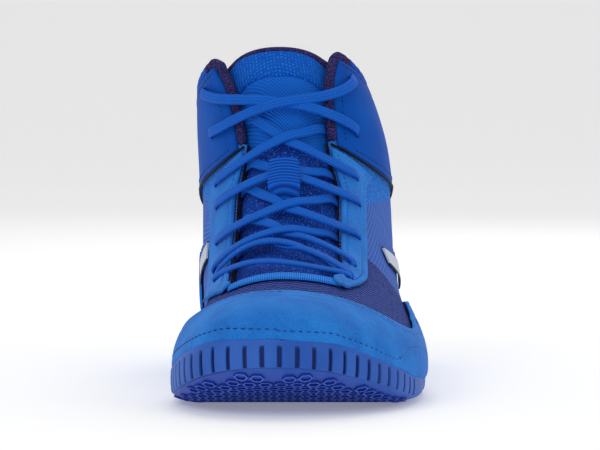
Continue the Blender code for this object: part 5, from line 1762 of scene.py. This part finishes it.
# Laces. One flat woven lace, run from the foot of the throat up to the top eyelets. Each
# run comes out under a facing, crosses the tongue and goes into the next eyelet outside.
LACE_WIDTH = 0.0046
LACE_LIFT_ALONG = (
    # share of the way from the throat's edge to the eyelet, share of LACE_LIFT
    (0.00, 0.15),
    (0.15, 0.35),
    (0.30, 0.95),
    (1.00, 1.04),
)
LACE_START_INSET = 0.045
LACE_LOWERED = 0.0060
LACE_MIDDLES = (13.40, 11.48, 9.95, 8.82, 8.02, 7.38)
LACE_BAR_MIDDLE = 6.50
LACE_CROSSED = 0.40
LACE_OVER_BINDING = 0.20
BAR_HEIGHT = 0.0031
BAR_SINK = 0.0011
RUN_POINTS = 41
UNDER_FACING = -0.0026
UNDER_SHARE = 0.55
# the lace drawn together and flattened in an eyelet, and its heights on the way down into it
NARROWED = 0.86
FLATTENED = 0.8
ON_FACING = 0.0029
DIVE_HEIGHTS = (0.0024, 0.0010, -0.0012)
DIVE_BACK = -0.0003
CROSSING_DIP = 0.0016
CROSSING_RISE = 0.0002
CROSSING_LENGTH = 0.0065
BRAID_PITCH = 0.00115
BRAID_COLUMN = 0.0013
BRAID_SLANT = 0.9

lace_weave, tree, shader = finish_named("lace_weave", (0, 122, 230), 0.62)
across, along = cloth_place(tree)
chevron = calc(tree, "ADD", along, calc(tree, "MULTIPLY", calc(tree, "ABSOLUTE", across), BRAID_SLANT))
picks = wave_along(tree, chevron, BRAID_PITCH)
strands = wave_along(tree, across, BRAID_COLUMN, "COSINE")
braid = calc(tree, "ADD", calc(tree, "MULTIPLY", picks, 0.65), calc(tree, "MULTIPLY", strands, 0.35))
dress(tree, shader, braid, (0, 70, 176), (8, 116, 226), braid, 0.0004, 0.7)


def eyelet_place(side, row, inset=None):
    """A place on one side: at the eyelet, or a little way inside the throat's edge."""
    section, share = row[:2] if side < 0 else row[2:]
    if inset is not None:
        section = section - float(section_step(section, side * 0.1, LACE_LOWERED))
        share = float(table_at(THROAT_TABLE, 1 if side < 0 else 2, section)) - inset
    return section, side * float(around_at_reach(np.array([section]), side, share)[0])


def bowed(start, stop, middle, count):
    """Sections and ways round between two places, over the ridge at the middle section."""
    share = np.linspace(0, 1, count)
    crossing = start[1] / (start[1] - stop[1])
    straight = start[0] + (stop[0] - start[0]) * crossing
    bow = (middle - straight) / (4 * crossing * (1 - crossing))
    section = start[0] + (stop[0] - start[0]) * share + bow * 4 * share * (1 - share)
    return share, crossing, section, start[1] + (stop[1] - start[1]) * share


def with_ends(head, values, tail):
    """A run's values with more at both ends."""
    return np.concatenate([head, values, tail])


def smooth_run(section, around, offset, width, thick, dense=0.0007):
    """Evens a rough run of places into a dense, softly bent path with its flat direction."""
    arc = arc_length(last_form(section, around, offset))
    at = np.linspace(0, arc[-1], int(arc[-1] / dense))
    values = np.stack([np.interp(at, arc, column) for column in (section, around, offset, width, thick)])
    kernel = np.array([1, 3, 5, 6, 5, 3, 1], float)
    kernel /= kernel.sum()
    for _ in range(2):
        padded = np.concatenate([values[:, :1].repeat(3, 1), values, values[:, -1:].repeat(3, 1)], axis=1)
        values[:, 1:-1] = np.stack([np.convolve(column, kernel, "valid") for column in padded])[:, 1:-1]
    return values


def lace_piece(name, section, around, offset, width, thick):
    """A run of flat lace along rough places, turned flat to the foot's surface."""
    section, around, offset, width, thick = smooth_run(section, around, offset, width, thick)
    flat = np.gradient(last_form(section, around, 0.0), axis=0)
    length = np.linalg.norm(flat, axis=1)
    moving = length > 0.25 * np.median(length)
    index = np.arange(len(flat))
    flat = [np.interp(index, index[moving], flat[moving, k] / length[moving]) for k in range(3)]
    return swept_piece(
        name, last_form(section, around, offset), last_normal(section, around), width, thick, lace_weave,
        power=0.62, rim=16, ahead_flat=np.stack(flat, axis=1),
    )


def beyond(start, stop, reach):
    """A place a distance further on than stop, seen from start."""
    first, last = (last_surface(np.array([place[0]]), np.array([place[1]]))[0] for place in (start, stop))
    share = reach / np.linalg.norm(last - first)
    return stop[0] + (stop[0] - start[0]) * share, stop[1] + (stop[1] - start[1]) * share


for number, crossed in enumerate(LACE_MIDDLES):
    above, below = EYELET_TABLE[number], EYELET_TABLE[number + 1]
    both_outside = number == 0
    runs = []
    for side, under in ((-1, 1.0), (1, 0.0)):
        start = eyelet_place(side, above, None if both_outside else LACE_START_INSET)
        stop = eyelet_place(-side, below)
        share, crossing, section, around = bowed(start, stop, crossed, RUN_POINTS)
        even = np.interp(share, (0, crossing, 1), (0, LACE_CROSSED, 1))
        lift = table_at(LACE_LIFT_ALONG, 1, even)
        if both_outside:
            lift = np.maximum(lift, table_at(LACE_LIFT_ALONG, 1, 1 - even)) + LACE_OVER_BINDING
        offset = lift * LACE_LIFT
        points = last_form(section, around, offset)
        cross_at = points[np.argmin(np.abs(share - crossing))]
        near = np.exp(-(np.linalg.norm(points - cross_at, axis=1) / CROSSING_LENGTH) ** 2)
        offset = offset + near * ((1 - under) * CROSSING_RISE - under * CROSSING_DIP)
        late = np.clip((share - 0.90) / 0.10, 0, 1)
        offset = offset + (ON_FACING - offset) * late * late * 0.8
        width = LACE_WIDTH * (1 - (1 - NARROWED) * late)
        thick = np.full(RUN_POINTS, LACE_THICKNESS)
        tail = beyond((section[-4], around[-4]), stop, DIVE_BACK)
        section = with_ends([], section[:-1], [stop[0], tail[0], tail[0]])
        around = with_ends([], around[:-1], [stop[1], tail[1], tail[1]])
        offset = with_ends([], offset[:-1], DIVE_HEIGHTS)
        width = with_ends([], width[:-1], [LACE_WIDTH * NARROWED] * 3)
        thick = with_ends([], thick[:-1], [LACE_THICKNESS * FLATTENED] * 3)
        if both_outside:
            head = beyond((section[3], around[3]), start, DIVE_BACK)
            early = np.clip((0.08 - np.linspace(0, 1, len(section))) / 0.08, 0, 1)
            offset = offset + (ON_FACING - offset) * early ** 2 * 0.8
            section = with_ends([head[0], head[0], start[0]], section[1:], [])
            around = with_ends([head[1], head[1], start[1]], around[1:], [])
            offset = with_ends(DIVE_HEIGHTS[::-1], offset[1:], [])
            width = with_ends([LACE_WIDTH * NARROWED] * 3, width[1:], [])
            thick = with_ends([LACE_THICKNESS * FLATTENED] * 3, thick[1:], [])
        else:
            from_eyelet = eyelet_place(side, above)
            edge_section = from_eyelet[0] + (start[0] - from_eyelet[0]) * 0.6
            edge_share = float(throat_share(side, edge_section)) + 0.012
            edge_around = side * float(around_at_reach(np.array([edge_section]), side, edge_share)[0])
            section = with_ends([from_eyelet[0], edge_section], section, [])
            around = with_ends([from_eyelet[1], edge_around], around, [])
            offset = with_ends([UNDER_FACING, UNDER_FACING], offset, [])
            width = with_ends([LACE_WIDTH * NARROWED, LACE_WIDTH * 0.95], width, [])
            thick = with_ends([LACE_THICKNESS * UNDER_SHARE] * 2, thick, [])
        name = "lace_run_" + str(number + 1) + "_" + SIDE_NAMES[side]
        runs.append(lace_piece(name, section, around, offset, width, thick))
    for lace in runs:
        place_piece(lace, "lace", "lace_crossing_" + str(number + 1))
start, stop = (eyelet_place(side, EYELET_TABLE[-1]) for side in (-1, 1))
share, crossing, section, around = bowed(start, stop, LACE_BAR_MIDDLE, RUN_POINTS)
inside = np.clip(np.minimum(share, 1 - share) / 0.22, 0, 1)
offset = BAR_HEIGHT - BAR_SINK * softened(inside)
head = beyond((section[4], around[4]), start, DIVE_BACK)
tail = beyond((section[-5], around[-5]), stop, DIVE_BACK)
section = with_ends([head[0]] * 2, section, [tail[0]] * 2)
around = with_ends([head[1]] * 2, around, [tail[1]] * 2)
offset = with_ends(DIVE_HEIGHTS[:0:-1], offset, DIVE_HEIGHTS[1:])
width = np.full(RUN_POINTS, LACE_WIDTH)
width = with_ends([LACE_WIDTH * NARROWED] * 2, width, [LACE_WIDTH * NARROWED] * 2)
thick = np.full(RUN_POINTS, LACE_THICKNESS)
thick = with_ends([LACE_THICKNESS * FLATTENED] * 2, thick, [LACE_THICKNESS * FLATTENED] * 2)
bar = lace_piece("lace_run_bar", section, around, offset, width, thick)
place_piece(bar, "lace", "lace_bar")


# Stitches. Rows of short raised threads along the edges of the suede, the facings and the
# ankle panels, in a dark and a lighter blue.
STITCH_PITCH = 0.0024
STITCH_LENGTH = 0.00165
STITCH_WIDTH = 0.00065
STITCH_SHARE = 0.7
SUEDE_PITCH = 0.0032
THREAD_SUNK = 0.00022
CUFF_THREAD_SUNK = 0.00032
EDGE_INSET = 0.0020
RAND_INSET = 0.0030
COUNTER_IN = 0.022

stitch_tree, given = geometry_tree(
    "stitch_rows", Pitch=STITCH_PITCH, Length=STITCH_LENGTH, Width=STITCH_WIDTH,
)
curve = add_node(stitch_tree, "GeometryNodeMeshToCurve", Mesh=given["Geometry"])
even_steps = add_node(
    stitch_tree, "GeometryNodeResampleCurve", [("mode", "LENGTH")],
    Curve=curve.outputs["Curve"], Length=given["Pitch"],
)
thread = add_node(stitch_tree, "GeometryNodeMeshUVSphere", Segments=6, Rings=4, Radius=0.5)
size = add_node(
    stitch_tree, "ShaderNodeCombineXYZ", X=given["Length"], Y=given["Width"], Z=given["Width"],
)
tangent = stitch_tree.nodes.new("GeometryNodeInputTangent").outputs["Tangent"]
spread = add_node(
    stitch_tree, "GeometryNodeInstanceOnPoints", Points=even_steps.outputs["Curve"],
    Instance=thread.outputs["Mesh"], Rotation=stood_on_surface(stitch_tree, tangent),
    Scale=size.outputs["Vector"],
)
finish_tree(stitch_tree, given, spread.outputs["Instances"], smooth=True)


def stitched(name, slot, rows, finish, pitch=STITCH_PITCH):
    """Rows of stitches along runs of places: section, way round and offset from the last."""
    points, edges, ups = [], [], []
    for section, around, offset in rows:
        path = last_form(section, around, np.full(len(section), offset))
        edges += [(len(points) + k, len(points) + k + 1) for k in range(len(path) - 1)]
        points += list(path)
        ups += list(last_normal(section, around))
    made = grown(name, carrier_of(name + "_rows", points, edges, ups), stitch_tree, {
        "Pitch": pitch, "Length": pitch * STITCH_SHARE, "Width": STITCH_WIDTH, "Finish": finish,
    })
    place_piece(made, slot)

def thread_finish(name, colour):
    """Waxed thread with a little lighter and darker along it."""
    made, tree, shader = finish_named(name, colour, 0.55)
    light = tuple(min(255, level + 26) for level in colour)
    set_colour(tree, shader, blend_colours(tree, ramp(tree, noise(tree, 900, 1), 0.4, 0.6), colour, light))
    set_relief(tree, shader, noise(tree, 3000, 1), 0.0001, 0.5)
    return made


blue_thread = thread_finish("blue_thread", (12, 86, 196))
dark_thread = thread_finish("dark_thread", (4, 44, 122))
suede_top = SUEDE_GAP + SUEDE_THICKNESS - THREAD_SUNK
facing_top = OVERLAY_GAP + SUEDE_THICKNESS - THREAD_SUNK
cuff_top = OVERLAY_GAP + CUFF_THICKNESS - CUFF_THREAD_SUNK
suede_rows, facing_stitches, cuff_rows = [], [], []
# along the rubber, from one side round the toe to the other: each place of the lower edge
# is moved an inset up the surface, which takes two equations for section and way round
half = tip + (RAND_END - 0.2 - tip) * np.linspace(0, 1, 260) ** 2
section = np.concatenate([half[::-1], half[1:]])
around = np.concatenate([-rubber_edge(half, -1)[::-1], rubber_edge(half, 1)[1:]])
base, small = last_surface(section, around), 0.01
along = (last_surface(section + small, around) - base) / small
across = (last_surface(section, around + small) - base) / small
way = np.cross(last_normal(section, around), np.gradient(base, axis=0))
way *= (np.sign(way[:, 2]) * CAP_SEAM_INSET / np.linalg.norm(way, axis=1))[:, None]
aa, ab, bb = (along * along).sum(1), (along * across).sum(1), (across * across).sum(1)
ra, rb = (along * way).sum(1), (across * way).sum(1)
section = section + (ra * bb - rb * ab) / (aa * bb - ab * ab)
around = around + (rb * aa - ra * ab) / (aa * bb - ab * ab)
suede_rows.append((section, around, suede_top))
for side in (-1, 1):
    # the top edge of the cap, then the rand's upper edge
    sections = np.linspace(CAP_SEAM, RAND_END - 0.2, 200)
    around = rand_edge(sections, side)
    points = last_surface(sections, side * around)
    turned = last_surface(sections, side * (around + 0.01))
    down = 0.01 * RAND_INSET / np.linalg.norm(turned - points, axis=1)
    at_seam = np.clip((RAND_START - sections) / (RAND_START - CAP_SEAM), 0, 1)
    back = section_step(sections, side * around, RAND_INSET) * at_seam
    turn = around + down * np.clip((sections - CAP_SEAM) / 0.8, 0, 1)
    turn = np.where(sections < CAP_SEAM + 0.02, 0.0, turn)
    suede_rows.append((sections - back, side * turn, suede_top))
    # the eyestay's outer edge, then the one beside the throat
    sections = np.linspace(6.3, 11.35, 160)
    share = facing_reaches(sections, side)[1] - FACING_SEAM_INSET / BALL_WIDTH
    facing_stitches.append((sections, side * around_at_reach(sections, side, share), facing_top))
    sections = np.linspace(6.7, 11.35, 160)
    share = throat_share(side, sections) + EDGE_SHARE + EDGE_INSET / BALL_WIDTH
    facing_stitches.append((sections, side * around_at_reach(sections, side, share), facing_top))
    # the ankle panel's front edge, then its lower and top edges
    sections = np.linspace(12.4, 15.8, 80)
    share = throat_share(side, sections) + (BINDING_WIDTH + 3 * FIT_GAP + CUFF_SEAM_INSET) / BALL_WIDTH
    cuff_rows.append((sections, side * around_at_reach(sections, side, share), cuff_top))
    around = side * np.linspace(0.22, 0.985, 160)
    for edge, reach in (
        (piping_section(around), PIPING_WIDTH / 2 + 2 * FIT_GAP + CUFF_SEAM_INSET),
        (collar_section(around), -FIT_GAP - CUFF_SEAM_INSET),
    ):
        cuff_rows.append((edge + section_step(edge, around, reach), around, cuff_top))
    # the counter's upper edge, up the side and then over the back
    sections = np.linspace(COUNTER_START + 0.2, COUNTER_TURN, 60)
    suede_rows.append((sections, side * (counter_edge(sections, side) + COUNTER_IN), suede_top))
    sections = np.linspace(COUNTER_TURN, COUNTER_TOP - 0.02, 80)
    around = counter_edge(sections, side)
    back = section_step(sections, side * around, COUNTER_SEAM_INSET)
    back = back * np.clip((sections - COUNTER_TURN) / 0.8, 0, 1)
    forward = COUNTER_IN * np.clip(1 - (sections - COUNTER_TURN) / 1.0, 0, 1)
    suede_rows.append((sections - back, side * np.minimum(around + forward, 0.999), suede_top))
stitched("suede_stitches", "suede", suede_rows, dark_thread, SUEDE_PITCH)
stitched("facing_stitches", "suede", facing_stitches, blue_thread)
stitched("cuff_stitches", "cuff_skin", cuff_rows, dark_thread)


# Floor and light. A plain pale floor that curves up far behind the shoe, with soft boxes at
# both sides, overhead and behind.
profile = [(-3.0, 0.0)] + [
    (2.0 + 0.8 * math.sin(turn), 0.8 - 0.8 * math.cos(turn)) for turn in np.linspace(0, math.pi / 2, 24)
] + [(2.8, 4.0)]
floor_points = [(x, y, z) for y, z in profile for x in (-6.0, 6.0)]
floor_faces = [(2 * k, 2 * k + 1, 2 * k + 3, 2 * k + 2) for k in range(len(profile) - 1)]
floor_finish, tree, shader = finish_named("floor_paint", (246, 246, 246), 0.9)
shader.inputs["Emission Color"].default_value = (1.0, 1.0, 1.0, 1.0)
shader.inputs["Emission Strength"].default_value = 0.22
floor = mesh_object("floor", floor_points, floor_faces, [floor_finish])


def soft_box(name, place, aim, size, power):
    """A soft area light at a place, turned to a point."""
    data = bpy.data.lights.new(name, "AREA")
    data.shape = "RECTANGLE"
    data.size, data.size_y = size
    data.energy = power
    made = bpy.data.objects.new(name, data)
    scene.collection.objects.link(made)
    made.location = place
    made.rotation_euler = (Vector(aim) - Vector(place)).to_track_quat("-Z", "Y").to_euler()


soft_box("key_light", (-0.75, -1.0, 0.95), (0, 0, 0.07), (0.7, 0.7), 3.6)
soft_box("fill_light", (0.95, -0.9, 0.6), (0, 0, 0.07), (0.7, 0.7), 1.8)
soft_box("top_light", (0.0, 0.25, 1.3), (0, 0, 0.07), (0.8, 0.8), 3.2)
soft_box("back_light", (0.3, 1.1, 0.7), (0, 0, 0.08), (0.7, 0.5), 1.8)
world = bpy.data.worlds.new("studio")
world.use_nodes = True
world.node_tree.nodes["Background"].inputs["Color"].default_value = (1.0, 1.0, 1.0, 1.0)
world.node_tree.nodes["Background"].inputs["Strength"].default_value = 0.50
scene.world = world
scene.view_settings.view_transform = "Standard"
